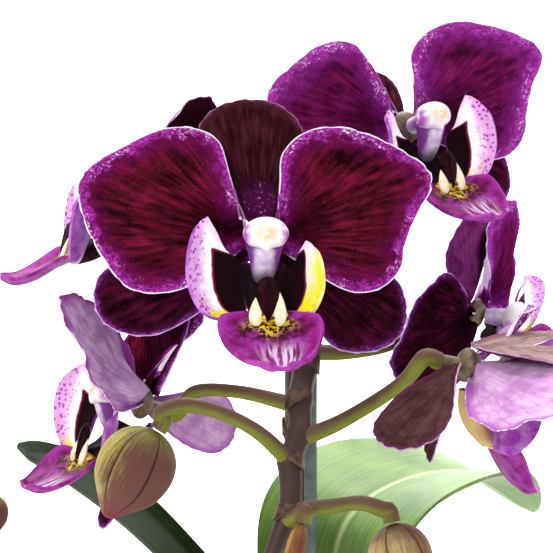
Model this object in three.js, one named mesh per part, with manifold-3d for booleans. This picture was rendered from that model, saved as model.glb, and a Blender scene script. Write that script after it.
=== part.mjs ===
// Potted moth orchid: a pot of bark mix, a rosette of leaves with its roots, an arching flower spike
// with six open blooms and its buds, a short side spike, and a cane behind the spike.
// Millimetres, +Z up. The origin is the middle of the pot's underside, and the blooms face -Y.
import * as THREE from 'three';
import { mergeVertices } from 'three/addons/utils/BufferGeometryUtils.js';
import Module from 'manifold-3d';

const wasm = await Module();
wasm.setup();

// Driving dimensions
const CLEARANCE = 0.35;
const SLIVER = 0.02;
const POT = {
  height: 85,
  footRadius: 32,
  rimRadius: 45,
  wall: 3.5,
  floor: 5,
  rimBand: 9,
  rimStep: 1.6,
  round: 1.2,
  sides: 24,
};
const DRAIN = { count: 3, radius: 3, ring: 17, sides: 10 };
const MIX = { level: 73, chips: 12, chipLength: 14, chipWidth: 8.5, chipDepth: 5.5, tilt: 0.25, margin: 8.5 };
const GOLDEN_ANGLE = Math.PI * (3 - Math.sqrt(5));
const CROWN = { x: 0, y: 7, bottom: 62, top: 100, radius: 6.1, topRadius: 4.6 };
const CANE = { x: 3.0, y: -7.8, radius: 1.3, bottom: 24, top: 190 };
const TEPAL_THICKNESS = 0.85;
const LIP_THICKNESS = 0.9;
const LOBE_HOLLOW = 1.4;
const LEAF_THICKNESS = 1.9;
const TEPAL_RINGS = 3;
const TEPAL_HINGE = 3.1;
const NECK_END = -5.6;
const LEAF_GRID = [8, 4];
const FINE = { tepal: 0.8, lobe: [5, 3], midlobe: [5, 4], column: 7 };
const PLAIN = { tepal: 0.6, lobe: [4, 2], midlobe: [4, 4], column: 6 };

const COLOURS = {
  pot: 0xf1ede4,
  mix: 0x5b3f2c,
  crown: 0x8f9a78,
  leaf: 0x4d6b2c,
  spike: 0x4f4038,
  cane: 0x3b4a45,
  tepals: 0x3a0f24,
  lip: 0xa63bb0,
  column: 0xf4ecf3,
  bud: 0x9a8a55,
};

// Vectors and curves
const vec = (x, y, z = 0) => new THREE.Vector3(x, y, z);
const curve = (points) => new THREE.CatmullRomCurve3(points.map((p) => vec(...p)), false, 'catmullrom', 0.5);
const degrees = THREE.MathUtils.degToRad;

// A small repeatable random source, so that the chips always fall the same way.
function randomSource(seed) {
  let state = seed;
  return () => {
    state = (state * 1664525 + 1013904223) % 4294967296;
    return state / 4294967296;
  };
}

// A closed geometry as a solid for joining and cutting.
function solid(geometry) {
  const bare = geometry.clone();
  bare.deleteAttribute('normal');
  bare.deleteAttribute('uv');
  const merged = mergeVertices(bare, 1e-4);
  const place = merged.getAttribute('position');
  const corners = merged.getIndex().array;
  const kept = [];
  for (let i = 0; i < corners.length; i += 3) {
    const [a, b, c] = [corners[i], corners[i + 1], corners[i + 2]];
    if (a !== b && b !== c && c !== a) kept.push(a, b, c);
  }
  if (signedVolume(place, kept) < 0) kept.reverse();
  const mesh = new wasm.Mesh({
    numProp: 3,
    vertProperties: new Float32Array(place.array),
    triVerts: new Uint32Array(kept),
  });
  return new wasm.Manifold(mesh);
}

function signedVolume(place, corners) {
  const [a, b, c] = [vec(0, 0), vec(0, 0), vec(0, 0)];
  let volume = 0;
  for (let i = 0; i < corners.length; i += 3) {
    a.fromBufferAttribute(place, corners[i]);
    b.fromBufferAttribute(place, corners[i + 1]);
    c.fromBufferAttribute(place, corners[i + 2]);
    volume += a.dot(b.cross(c)) / 6;
  }
  return volume;
}

const joined = (solids) => solids.reduce((whole, piece) => whole.add(piece));

// The largest body of a solid: scraps that a cut leaves loose are dropped.
function largestBody(whole) {
  return whole.decompose().reduce((best, body) => (body.volume() > best.volume() ? body : best));
}

function meshOf(name, whole, colour, roughness = 0.5) {
  const { vertProperties, triVerts, numProp } = largestBody(whole.simplify(SLIVER)).getMesh();
  const place = new Float32Array((vertProperties.length / numProp) * 3);
  for (let i = 0; i < place.length / 3; i += 1) {
    place.set(vertProperties.subarray(i * numProp, i * numProp + 3), i * 3);
  }
  const geometry = new THREE.BufferGeometry();
  geometry.setAttribute('position', new THREE.BufferAttribute(place, 3));
  geometry.setIndex(new THREE.BufferAttribute(new Uint32Array(triVerts), 1));
  geometry.computeVertexNormals();
  const mesh = new THREE.Mesh(geometry, new THREE.MeshStandardMaterial({ color: colour, roughness }));
  mesh.name = name;
  return mesh;
}

// A grid of points bent into a closed thin solid: a front, a back moved by the offset, and a rim.
// Both faces are split into triangles alike.
function blade([columns, rows], surface, offset) {
  const points = [];
  for (const side of [0, 1]) {
    for (let i = 0; i <= columns; i += 1) {
      for (let j = 0; j <= rows; j += 1) {
        const [u, v] = [i / columns, j / rows];
        const point = surface(u, v);
        if (side) point.add(typeof offset === 'function' ? offset(u, v) : offset);
        points.push(point);
      }
    }
  }
  const layer = (columns + 1) * (rows + 1);
  const at = (i, j) => i * (rows + 1) + j;
  const faces = [];
  for (let i = 0; i < columns; i += 1) {
    for (let j = 0; j < rows; j += 1) {
      const [a, b, c, d] = [at(i, j), at(i + 1, j), at(i + 1, j + 1), at(i, j + 1)];
      faces.push(a, b, c, a, c, d);
      faces.push(a + layer, c + layer, b + layer, a + layer, d + layer, c + layer);
    }
  }
  const rim = [];
  for (let i = 0; i < columns; i += 1) rim.push(at(i, 0));
  for (let j = 0; j < rows; j += 1) rim.push(at(columns, j));
  for (let i = columns; i > 0; i -= 1) rim.push(at(i, rows));
  for (let j = rows; j > 0; j -= 1) rim.push(at(0, j));
  rim.forEach((p, k) => {
    const q = rim[(k + 1) % rim.length];
    faces.push(q, p, p + layer, q, p + layer, q + layer);
  });
  const geometry = new THREE.BufferGeometry().setFromPoints(points);
  geometry.setIndex(faces);
  return solid(geometry);
}

// A round rod along a curve with a radius that may change on the way, closed at both ends.
function rod(path, radius, sides, steps) {
  const line = curve(path);
  const { normals, binormals } = line.computeFrenetFrames(steps, false);
  const points = [line.getPointAt(0)];
  for (let i = 0; i <= steps; i += 1) {
    const centre = line.getPointAt(i / steps);
    const reach = radius(i / steps);
    for (let j = 0; j < sides; j += 1) {
      const angle = (2 * Math.PI * j) / sides;
      const spoke = normals[i].clone().multiplyScalar(Math.cos(angle) * reach);
      points.push(spoke.addScaledVector(binormals[i], Math.sin(angle) * reach).add(centre));
    }
  }
  points.push(line.getPointAt(1));
  const faces = [];
  const at = (i, j) => 1 + i * sides + (j % sides);
  for (let j = 0; j < sides; j += 1) {
    faces.push(0, at(0, j + 1), at(0, j));
    for (let i = 0; i < steps; i += 1) {
      faces.push(at(i, j), at(i, j + 1), at(i + 1, j + 1), at(i, j), at(i + 1, j + 1), at(i + 1, j));
    }
    faces.push(points.length - 1, at(steps, j), at(steps, j + 1));
  }
  const geometry = new THREE.BufferGeometry().setFromPoints(points);
  geometry.setIndex(faces);
  return solid(geometry);
}

function ellipsoid(centre, radii, sides = 10, rings = 7) {
  const geometry = new THREE.SphereGeometry(1, sides, rings);
  geometry.scale(...radii);
  geometry.translate(...centre);
  return solid(geometry);
}

// Blooms. Each is drawn in its own frame: the origin is the receptacle, +Z is where the bloom faces,
// +Y runs to the dorsal sepal and +X to the viewer's right. A tepal's outline runs round it from one
// side of its base to the other, and its surface is spread from the middle of the base to that outline.
const TEPALS = {
  dorsal: {
    heading: 95,
    outline: [
      [-1.4, 2.4], [-5.4, 6.6], [-8.8, 11.4], [-10.7, 16.4], [-10.3, 20.2], [-7.0, 23.3], [-2.0, 24.4],
      [3.2, 23.4], [6.8, 20.2], [7.6, 16.0], [6.6, 11.4], [4.4, 6.8], [1.6, 2.4],
    ],
  },
  petalRight: {
    heading: 17,
    outline: [
      [2.8, -1.4], [8.4, -5.4], [14.8, -8.8], [20.0, -8.4], [23.6, -5.0], [24.6, -0.6], [26.4, 4.0],
      [29.0, 8.6], [28.4, 12.0], [24.6, 15.0], [19.2, 17.6], [13.4, 19.3], [7.6, 18.4], [3.6, 14.8],
      [3.0, 9.6], [2.4, 3.4],
    ],
  },
  petalLeft: {
    heading: 163,
    outline: [
      [-2.8, -1.2], [-8.0, -5.0], [-12.8, -7.9], [-18.2, -8.9], [-22.8, -7.8], [-26.2, -4.0], [-28.8, 0.6],
      [-30.5, 5.2], [-31.0, 9.6], [-28.4, 13.2], [-22.8, 16.4], [-17.0, 18.9], [-11.6, 19.2], [-7.2, 16.8],
      [-5.4, 11.4], [-3.4, 4.6],
    ],
  },
  lateralRight: {
    heading: 328,
    outline: [
      [3.0, -0.8], [9.0, -2.6], [15.0, -3.4], [20.6, -4.4], [24.0, -7.6], [25.2, -12.0], [24.4, -16.0],
      [20.9, -18.8], [15.8, -19.4], [11.8, -18.0], [8.6, -13.6], [4.8, -8.0], [1.4, -2.6],
    ],
  },
  lateralLeft: {
    heading: 198,
    outline: [
      [-3.0, -0.8], [-9.4, -1.7], [-16.0, -2.1], [-22.4, -2.9], [-27.2, -5.0], [-28.8, -9.0], [-27.6, -13.2],
      [-24.0, -15.6], [-18.6, -16.1], [-13.0, -13.7], [-8.4, -10.4], [-4.4, -6.4], [-1.2, -2.4],
    ],
  },
};
const PETAL = { root: -0.2, arch: 2.9, fall: 1.5, roll: 0.9, ripple: 0.45, waves: 7 };
const SEPAL = { root: -1.9, arch: 0.3, fall: 1.2, roll: 0.6, ripple: 0.2, waves: 4 };

// Depth of a tepal at a reach from its root (0) to its margin (1): it arches out, falls back at the tip,
// rolls back at the sides, and ripples along the margin.
function tepalDepth(form, phase, reach, round, bearing) {
  const body = form.root + form.arch * Math.sin(Math.PI * 0.72 * reach);
  const tip = form.fall * (reach * Math.cos(bearing)) ** 2;
  const sides = form.roll * (reach * Math.sin(bearing)) ** 2;
  return body - tip - sides + form.ripple * reach ** 5 * Math.sin(2 * Math.PI * form.waves * round + phase);
}

// A tepal's pose: the twist rolls it about its own length, the fold tips it towards where the bloom
// faces, about a hinge a little way out from the middle if it comes forward or far back, and the spin then swings
// it round that direction.
function tepalPose(heading, { fold = 0, spin = 0, twist = 0 }) {
  const along = vec(Math.cos(degrees(heading)), Math.sin(degrees(heading)));
  const hinge = along.clone().cross(vec(0, 0, 1));
  const foot = along.clone().multiplyScalar(fold > 0 || fold < -45 ? TEPAL_HINGE : 0);
  const turn = (axis, angle) => new THREE.Matrix4().makeRotationAxis(axis, degrees(angle));
  const pose = turn(vec(0, 0, 1), spin).multiply(new THREE.Matrix4().makeTranslation(foot));
  pose.multiply(turn(hinge, fold)).multiply(turn(along, twist));
  return pose.multiply(new THREE.Matrix4().makeTranslation(foot.negate()));
}

function tepal(name, form, { phase, pose, detail }, shift) {
  const { heading, outline } = TEPALS[name];
  const margin = curve(outline);
  const root = margin.getPoint(0).lerp(margin.getPoint(1), 0.5);
  const placed = tepalPose(heading, pose[name] ?? {});
  const surface = (round, reach) => {
    const point = root.clone().lerp(margin.getPoint(round), reach);
    const bearing = Math.atan2(point.y, point.x) - degrees(heading);
    point.z = tepalDepth(form, phase + shift, reach, round, bearing);
    return point.applyMatrix4(placed);
  };
  const grid = [Math.round(detail.tepal * (outline.length - 1)), TEPAL_RINGS];
  return blade(grid, surface, vec(0, 0, -1).transformDirection(placed).multiplyScalar(TEPAL_THICKNESS));
}

function tepals(bloom) {
  return joined([
    ellipsoid([0, 0.4, -0.4], [3.7, 3.5, 1.9], 8, 5),
    rod([[0, 0.2, -1], [0, 0.2, NECK_END]], () => 1.4, 6, 1),
    tepal('dorsal', SEPAL, bloom, 0),
    tepal('lateralLeft', SEPAL, bloom, 2),
    tepal('lateralRight', SEPAL, bloom, 4),
    tepal('petalLeft', PETAL, bloom, 1),
    tepal('petalRight', PETAL, bloom, 3),
  ]);
}

// The column: a stout body out of the middle, its foot below, and the rounded cap at its end.
function column({ detail }) {
  return joined([
    rod([[0, 0.2, 1.6 + CLEARANCE], [0.1, 0.2, 4.5], [0.2, 0.4, 8]], (t) => 1.6 + 0.8 * t, detail.column, 1),
    rod([[0.2, -0.6, 7.6], [0.1, -4.0, 5.8], [0, -6.6, 3.6]], (t) => 2.1 - 0.8 * t, detail.column, 2),
    ellipsoid([0.3, 0.9, 8.7], [3.8, 2.8, 2.9], detail.column + 2, detail.column - 1),
  ]);
}

// The lip: two upright side lobes, the broad midlobe held forward, and the callus between them with its
// pointed shield and the two teeth beside it.
const SHIELD = [[0.6, -13.2, 9.2], [0.5, -10.0, 9.5], [0.4, -7.4, 9.1]];
const TOOTH_LEFT = [[-1.3, -13.0, 9.0], [-1.6, -11.6, 9.3], [-1.8, -10.2, 9.4]];
const TOOTH_RIGHT = [[2.4, -13.0, 9.0], [2.6, -11.4, 9.3], [2.7, -9.4, 9.4]];
const SIDE_LOBE = {
  outer: [
    [-4.6, -13.0, 7.4], [-9.6, -12.2, 9.0], [-12.0, -7.4, 11.0], [-12.2, -2.2, 11.4], [-11.3, 1.3, 10.4],
    [-10.4, 3.0, 9.4], [-9.2, 3.8, 8.6],
  ],
  inner: [
    [-3.0, -12.2, 7.8], [-3.2, -10.4, 7.2], [-3.8, -7.2, 6.6], [-4.0, -3.6, 6.4], [-6.3, -1.6, 6.8],
    [-7.8, 1.4, 7.6], [-9.2, 3.8, 8.6],
  ],
  lean: [0.5, 0.1, 0.86],
};
const MIDLOBE = {
  spine: [[0.8, -12.4, 7.4], [0.8, -15.2, 10.6], [1.1, -18.4, 13.8], [1.7, -20.4, 17.0], [2.2, -20.4, 19.6]],
  halfWidth: [2.6, 8.0, 7.8, 5.2, 1.4],
  wing: 3.4,
  lean: [0, -0.62, -0.78],
};

function sideLobe(mirror, [width, height], grid) {
  const foot = SIDE_LOBE.outer[0][1];
  const place = ([x, y, z]) => [mirror * x * width, foot + (y - foot) * height, z];
  const [outer, inner] = [curve(SIDE_LOBE.outer.map(place)), curve(SIDE_LOBE.inner.map(place))];
  const lean = vec(mirror * SIDE_LOBE.lean[0], SIDE_LOBE.lean[1], SIDE_LOBE.lean[2]);
  const surface = (u, v) => {
    const point = outer.getPoint(u).lerp(inner.getPoint(u), v);
    const hollow = LOBE_HOLLOW * Math.sin(Math.PI * v) * Math.sin(Math.PI * Math.min(1, u + 0.1));
    return point.addScaledVector(lean, -hollow);
  };
  return blade(grid, surface, lean.clone().normalize().multiplyScalar(-LIP_THICKNESS));
}

function midlobe(grid) {
  const spine = curve(MIDLOBE.spine);
  const widths = curve(MIDLOBE.halfWidth.map((w) => [w, 0, 0]));
  const surface = (u, v) => {
    const c = 2 * v - 1;
    const point = spine.getPoint(u);
    point.x += c * widths.getPoint(u).x;
    point.y += MIDLOBE.wing * Math.abs(c) ** 2.2 * (1 - 0.75 * u) * Math.min(1, 0.2 + 3.2 * u);
    return point;
  };
  return blade(grid, surface, vec(...MIDLOBE.lean).multiplyScalar(LIP_THICKNESS));
}

function lip({ lobes, detail }) {
  return joined([
    rod([[0.1, -7.6, 2.6], [0.4, -10.2, 4.6], [0.8, -12.4, 7.6]], (t) => 1.1 + 0.9 * t, 6, 2),
    ellipsoid([0.8, -12.4, 8.2], [3.3, 1.5, 1.9], 8, 5),
    rod(SHIELD, (t) => 0.5 + 1.2 * t, 5, 1),
    rod(TOOTH_LEFT, (t) => 0.9 - 0.65 * t, 4, 1),
    rod(TOOTH_RIGHT, (t) => 0.9 - 0.65 * t, 4, 1),
    sideLobe(1, lobes.left, detail.lobe),
    sideLobe(-1, lobes.right, detail.lobe),
    midlobe(detail.midlobe),
  ]);
}

// Where each bloom hangs and looks, the width and height of its side lobes, and how its tepals are posed.
const FULL_LOBES = { left: [1, 1], right: [1, 1] };
const LOW_LOBES = { left: [0.85, 0.66], right: [0.85, 0.66] };
const BLOOMS = {
  a: {
    at: [-6.5, -55, 206], yaw: 3, pitch: 8, roll: 0, size: 1, phase: 0.4, detail: FINE,
    lobes: { left: [1, 1], right: [0.75, 0.76] },
    pose: {},
  },
  b: {
    at: [20.6, -24.4, 223.6], yaw: 30, pitch: 12, roll: 8, size: 0.95, phase: 2.1, detail: FINE,
    lobes: FULL_LOBES,
    pose: { dorsal: { fold: -42 }, petalRight: { fold: 31, spin: -1 } },
  },
  c: {
    at: [-32.6, -14.3, 207.8], yaw: -80, pitch: 19, roll: 0, size: 1, phase: 3.7, detail: PLAIN,
    lobes: FULL_LOBES,
    pose: {
      dorsal: { fold: -31 },
      petalRight: { fold: -6, spin: 34, twist: -39 },
      petalLeft: { fold: -27 },
      lateralRight: { fold: -12 },
      lateralLeft: { fold: -12 },
    },
  },
  d: {
    at: [-30.0, -29.1, 171.6], yaw: -60, pitch: 20, roll: 0, size: 0.95, phase: 5.2, detail: PLAIN,
    lobes: { left: [1.22, 1.05], right: [0.9, 0.7] },
    pose: {
      dorsal: { fold: 2, spin: 8 },
      petalRight: { fold: 64, spin: 55, twist: -18 },
      petalLeft: { fold: -16, spin: -40, twist: 7 },
      lateralRight: { fold: 24, spin: -17 },
      lateralLeft: { fold: -73, spin: -26, twist: -34 },
    },
  },
  e: {
    at: [29, -55, 184], yaw: 105, pitch: -13, roll: 0, size: 0.95, phase: 1.3, detail: PLAIN,
    lobes: LOW_LOBES,
    pose: {
      dorsal: { fold: 75, spin: 43, twist: -38 },
      petalLeft: { fold: 25, spin: 9, twist: -50 },
      petalRight: { fold: 30, spin: -14, twist: 33 },
      lateralLeft: { fold: -30, spin: 16, twist: -54 },
      lateralRight: { fold: 16, spin: -6 },
    },
  },
  f: {
    at: [35.6, -16.5, 186.8], yaw: 65, pitch: -5, roll: 45, size: 0.9, phase: 4.4, detail: PLAIN,
    lobes: FULL_LOBES,
    pose: {
      dorsal: { fold: 4, spin: -27, twist: -12 },
      petalLeft: { fold: -15, spin: -14 },
      petalRight: { spin: -19 },
      lateralLeft: { fold: -20 },
    },
  },
};

// The bloom's frame in the plant: unturned, it faces -Y with the dorsal sepal up.
function bloomFrame({ at, yaw, pitch, roll, size }) {
  const turn = new THREE.Quaternion().setFromEuler(new THREE.Euler(degrees(90), 0, 0));
  turn.multiply(new THREE.Quaternion().setFromAxisAngle(vec(0, 1, 0), degrees(yaw)));
  turn.multiply(new THREE.Quaternion().setFromAxisAngle(vec(1, 0, 0), degrees(-pitch)));
  turn.multiply(new THREE.Quaternion().setFromAxisAngle(vec(0, 0, 1), degrees(roll)));
  return new THREE.Matrix4().compose(vec(...at), turn, vec(size, size, size));
}

function bloomMeshes(key, bloom) {
  const group = new THREE.Group();
  group.add(meshOf(`bloom_${key}_tepals`, tepals(bloom), COLOURS.tepals, 0.45));
  group.add(meshOf(`bloom_${key}_column`, column(bloom), COLOURS.column, 0.5));
  group.add(meshOf(`bloom_${key}_lip`, lip(bloom), COLOURS.lip, 0.45));
  group.applyMatrix4(bloomFrame(bloom));
  return group;
}

// Buds: an egg with three shallow seams where the closed sepals meet.
const BUDS = {
  left: { from: [-24.4, -58.4, 173.6], to: [-32.6, -60.6, 160.0], radius: 7.4 },
  right: { from: [15.8, -60.7, 158.0], to: [19.0, -63.4, 145.4], radius: 6.0 },
  shoot: { from: [0.3, -62.0, 158.4], to: [-2.0, -63.6, 149.6], radius: 1.8 },
  tip: { from: [-7.35, -61.7, 146.9], to: [-9.3, -63.3, 140.0], radius: 1.7 },
  side: { from: [-60.4, -20.9, 151.6], to: [-60.0, -21.0, 143.6], radius: 3.7 },
  side_tip: { from: [-66.2, -20.6, 158.4], to: [-66.6, -20.2, 164.4], radius: 2.1 },
};
const BUD_SEAM = 0.07;

function bud({ from, to, radius }) {
  const [sides, rings] = radius > 3 ? [12, 8] : [9, 5];
  const axis = vec(...to).sub(vec(...from));
  const length = axis.length();
  const geometry = new THREE.SphereGeometry(1, sides, rings);
  const place = geometry.getAttribute('position');
  for (let i = 0; i < place.count; i += 1) {
    const point = new THREE.Vector3().fromBufferAttribute(place, i);
    const along = (point.y + 1) / 2;
    const seam = 1 - BUD_SEAM * Math.cos(3 * Math.atan2(point.z, point.x));
    const girth = radius * seam * (1.1 - 0.25 * along);
    place.setXYZ(i, point.x * girth, along * length, point.z * girth);
  }
  geometry.applyQuaternion(new THREE.Quaternion().setFromUnitVectors(vec(0, 1, 0), axis.normalize()));
  geometry.translate(...from);
  return solid(geometry);
}

// Two points above a bud's top, in line with it, that its stalk comes in by.
function budSeat({ from, to }) {
  const axis = vec(...to).sub(vec(...from)).normalize();
  return [2.2, CLEARANCE].map((lift) => vec(...from).addScaledVector(axis, -lift).toArray());
}

// Two points behind a bloom's receptacle that its stalk comes in by.
function bloomSeat(bloom) {
  const frame = bloomFrame(bloom);
  const behind = [NECK_END - 3.2, NECK_END - CLEARANCE];
  return behind.map((z) => vec(0, 0.2, z).applyMatrix4(frame).toArray());
}

// The spike rises beside the crown, arches over and hangs its tip forward. Each stalk leaves it at a
// node, where it is a little thicker.
const SPIKE = {
  path: [
    [0.3, -2.7, 64], [0.4, -2.5, 110], [0.5, -2.0, 160], [0.6, -3.2, 198], [1.6, -10, 217], [2.8, -20, 221],
    [3.0, -29, 212], [2.4, -33.8, 197], [1.4, -37.6, 182], [0.2, -42.6, 175.6], [0.1, -47.4, 170.4],
    [-1.6, -50.6, 166.6], [-1.5, -53.8, 163], [-1.8, -56.6, 158.8], [-3.2, -58.2, 155.6],
    [-5.0, -59.8, 151.6], [-7.2, -61.6, 147.2],
  ],
  radii: [3.0, 2.9, 2.8, 2.7, 2.7, 2.7, 2.8, 2.9, 3.0, 3.0, 2.8, 2.5, 2.3, 2.2, 2.1, 1.9, 1.2],
  sides: 7,
  steps: 22,
};
const SIDE_SPIKE = {
  path: [
    [-6.4, -14.0, 64], [-9.0, -20.0, 84], [-26.0, -27.0, 106], [-48.0, -27.0, 124], [-62.6, -24.0, 140],
    [-66.0, -21.2, 152], [-66.2, -20.6, 158.0],
  ],
  radii: [2.1, 2.0, 1.9, 1.7, 1.5, 1.3, 1.1],
  sides: 6,
  steps: 12,
};
const STALK_RADIUS = 1.25;
const STALKS = [
  { via: [[2.5, -32.6, 201.5], [1.0, -38.0, 202.4]], to: bloomSeat(BLOOMS.a) },
  { via: [[1.6, -12, 218], [8.5, -11, 221], [15.0, -15.6, 222.6]], to: bloomSeat(BLOOMS.b) },
  { via: [[0.4, -3, 190], [-10, -5, 200], [-20.4, -10.5, 204.6]], to: bloomSeat(BLOOMS.c) },
  { via: [[0.2, -43.6, 174.6], [-10.7, -37.1, 175.8], [-19.4, -28.6, 174.0]], to: bloomSeat(BLOOMS.d) },
  { via: [[0.2, -48.0, 169.6], [8.1, -49.6, 173.6], [17.5, -52.9, 180.6]], to: bloomSeat(BLOOMS.e) },
  { via: [[1.5, -37.2, 183.4], [10.0, -32.0, 182.4], [19.0, -27.4, 183.6]], to: bloomSeat(BLOOMS.f) },
  {
    via: [
      [-1.6, -51.0, 166.4], [-7.6, -53.8, 172.6], [-14.4, -55.4, 176.4], [-20.4, -57.2, 177.9],
      [-23.8, -58.2, 176.6],
    ],
    to: budSeat(BUDS.left),
  },
  {
    via: [[-1.8, -56.6, 159.0], [5.2, -58.5, 160.4], [10.4, -59.5, 161.3], [14.2, -60.3, 160.4]],
    to: budSeat(BUDS.right),
  },
  { via: [[-2.4, -57.4, 157.4], [-0.6, -60.2, 159.2]], to: budSeat(BUDS.shoot) },
];
const SIDE_STALK = { via: [[-66.0, -21.2, 152.4], [-63.0, -21.4, 154.6]], to: budSeat(BUDS.side) };
const NODES = [4, 8, 9, 10, 11, 13];

// A rod with the widths of its radii. With an extra it is that much wider and starts that much lower.
function taperedRod({ path, radii, sides, steps }, extra = 0) {
  const widths = curve(radii.map((r) => [r, 0, 0]));
  const [[x, y, z], ...rest] = path;
  return rod([[x, y, z - extra], ...rest], (t) => widths.getPoint(t).x + extra, sides, steps);
}

function stalk({ via, to }) {
  const path = [...via, ...to];
  return rod(path, (t) => STALK_RADIUS * (1.25 - 0.25 * Math.sin(Math.PI * t)), 5, path.length);
}

function mainSpike() {
  const nodes = NODES.map((k) => {
    const girth = 1.22 * SPIKE.radii[k];
    return ellipsoid(SPIKE.path[k], [girth, girth, 0.75 * girth], 6, 3);
  });
  return joined([taperedRod(SPIKE), ...STALKS.map(stalk), ...nodes]);
}

const sideSpike = () => joined([taperedRod(SIDE_SPIKE), stalk(SIDE_STALK)]);

// Leaves: thick straps in two ranks, folded a little along the midrib. Each has its midrib, its half
// width, and a twist that rolls it about the midrib.
const LEAVES = [
  {
    rib: [
      [4.5, 10.9, 91], [7.2, 13.4, 114], [11.4, 17.0, 134], [25.1, 29.2, 140.6], [44, 47, 137.5],
      [61, 62, 124],
    ],
    half: 23,
    twist: 0,
  },
  {
    rib: [[-5.5, 9.1, 94], [-15, 10.0, 114], [-33, 12.4, 133], [-49, 18, 144], [-62, 24.4, 150]],
    half: 17,
    twist: 36,
  },
  {
    rib: [[6.6, 8.0, 85], [22, 10, 101], [48, 14, 108], [75, 18, 101], [96, 21, 86]],
    half: 22,
    twist: 0,
  },
  {
    rib: [[-6.1, 5.9, 88], [-22, 3, 104], [-46, -2, 110], [-70, -6, 104], [-88, -9, 90]],
    half: 21,
    twist: 0,
  },
  {
    rib: [[6.2, 4.5, 80], [22, -2, 89], [45, -11, 96], [68, -20, 91], [88, -28, 76]],
    half: 20,
    twist: 0,
  },
  {
    rib: [[-6.6, 8.0, 80.5], [-24, 10, 91], [-48, 13, 96], [-72, 17, 89], [-90, 19, 74]],
    half: 20,
    twist: 0,
  },
];
const LEAF_FOLD = 0.22;

function leaf({ rib, half, twist }) {
  const line = curve(rib);
  const heading = vec(rib[rib.length - 1][0] - rib[0][0], rib[rib.length - 1][1] - rib[0][1]).normalize();
  const across = vec(-heading.y, heading.x);
  const frameAt = (u) => {
    const along = line.getTangent(u);
    const side = across.clone().applyAxisAngle(along, degrees(twist * Math.min(1, 3 * u)));
    return { side, face: along.clone().cross(side).normalize() };
  };
  const surface = (u, v) => {
    const { side, face } = frameAt(u);
    const c = 2 * v - 1;
    const width = half * Math.max(0, Math.sin(Math.PI * (0.05 + 0.95 * u))) ** 0.7;
    const point = line.getPoint(u).addScaledVector(side, c * width);
    return point.addScaledVector(face, LEAF_FOLD * Math.abs(c) * width);
  };
  return blade(LEAF_GRID, surface, (u) => frameAt(u).face.multiplyScalar(-LEAF_THICKNESS));
}

// The crown: a short stub that the leaves stand round, with its roots grown out of its foot.
const ROOTS = [
  { bearing: -150, lift: 2.0, reach: 33, bend: 12 },
  { bearing: -38, lift: 1.6, reach: 35, bend: -14 },
  { bearing: 22, lift: 2.2, reach: 32, bend: 10 },
  { bearing: 95, lift: 1.8, reach: 27, bend: -12 },
  { bearing: 168, lift: 1.8, reach: 33, bend: 14 },
];
const ROOT_RADIUS = 2.1;

function rootPath({ bearing, lift, reach, bend }, extra) {
  const place = (distance, turn, z) => {
    const angle = degrees(bearing + turn);
    return [CROWN.x + distance * Math.cos(angle), CROWN.y + distance * Math.sin(angle) * 0.9, z];
  };
  return [
    place(2, 0, MIX.level - 5),
    place(9, 0, MIX.level + lift),
    place(0.55 * reach, bend, MIX.level + lift + 0.6),
    place(0.82 * reach, 1.6 * bend, MIX.level + 0.8),
    place(reach, 2 * bend, MIX.level - 8 - extra),
  ];
}

function crown(extra = 0) {
  const { x, y, bottom, top, radius, topRadius } = CROWN;
  const stub = {
    path: [[x, y, bottom], [x, y, (bottom + top) / 2], [x, y, top]],
    radii: [radius, radius, topRadius],
    sides: 12,
    steps: 4,
  };
  const roots = ROOTS.map((root) => rod(rootPath(root, extra), () => ROOT_RADIUS + extra, 5, 6));
  return joined([taperedRod(stub, extra), ...roots]);
}

function cane(extra = 0) {
  const height = CANE.top - CANE.bottom + extra;
  const geometry = new THREE.CylinderGeometry(CANE.radius + extra, CANE.radius + extra, height, 10);
  geometry.rotateX(Math.PI / 2);
  geometry.translate(CANE.x, CANE.y, (CANE.top + CANE.bottom - extra) / 2);
  return solid(geometry);
}

// The pot: a tapered wall with a rim band, and drain holes round the middle of its floor.
const potRadius = (z) => POT.footRadius + ((POT.rimRadius - POT.footRadius) * z) / POT.height;

function pot() {
  const { height, wall, floor, rimBand, rimStep, footRadius, round, sides } = POT;
  const band = height - rimBand;
  const lip = potRadius(height) + rimStep;
  const inside = (z) => potRadius(z) - wall;
  const profile = [
    [0, 0], [footRadius - round, 0], [potRadius(round), round], [potRadius(band), band],
    [potRadius(band) + rimStep, band + round], [lip, height - round], [lip - round, height],
    [inside(height) + round, height], [inside(height), height - round],
    [inside(floor), floor + 2 * round], [inside(floor) - 2 * round, floor], [0, floor],
  ];
  const shell = new THREE.LatheGeometry(profile.map(([r, z]) => new THREE.Vector2(r, z)), sides);
  shell.rotateX(Math.PI / 2);
  let body = solid(shell);
  for (let i = 0; i < DRAIN.count; i += 1) {
    const angle = (2 * Math.PI * i) / DRAIN.count;
    const drill = new THREE.CylinderGeometry(DRAIN.radius, DRAIN.radius, 4 * floor, DRAIN.sides);
    drill.rotateX(Math.PI / 2);
    drill.translate(DRAIN.ring * Math.cos(angle), DRAIN.ring * Math.sin(angle), floor / 2);
    body = body.subtract(solid(drill));
  }
  return body;
}

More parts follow.
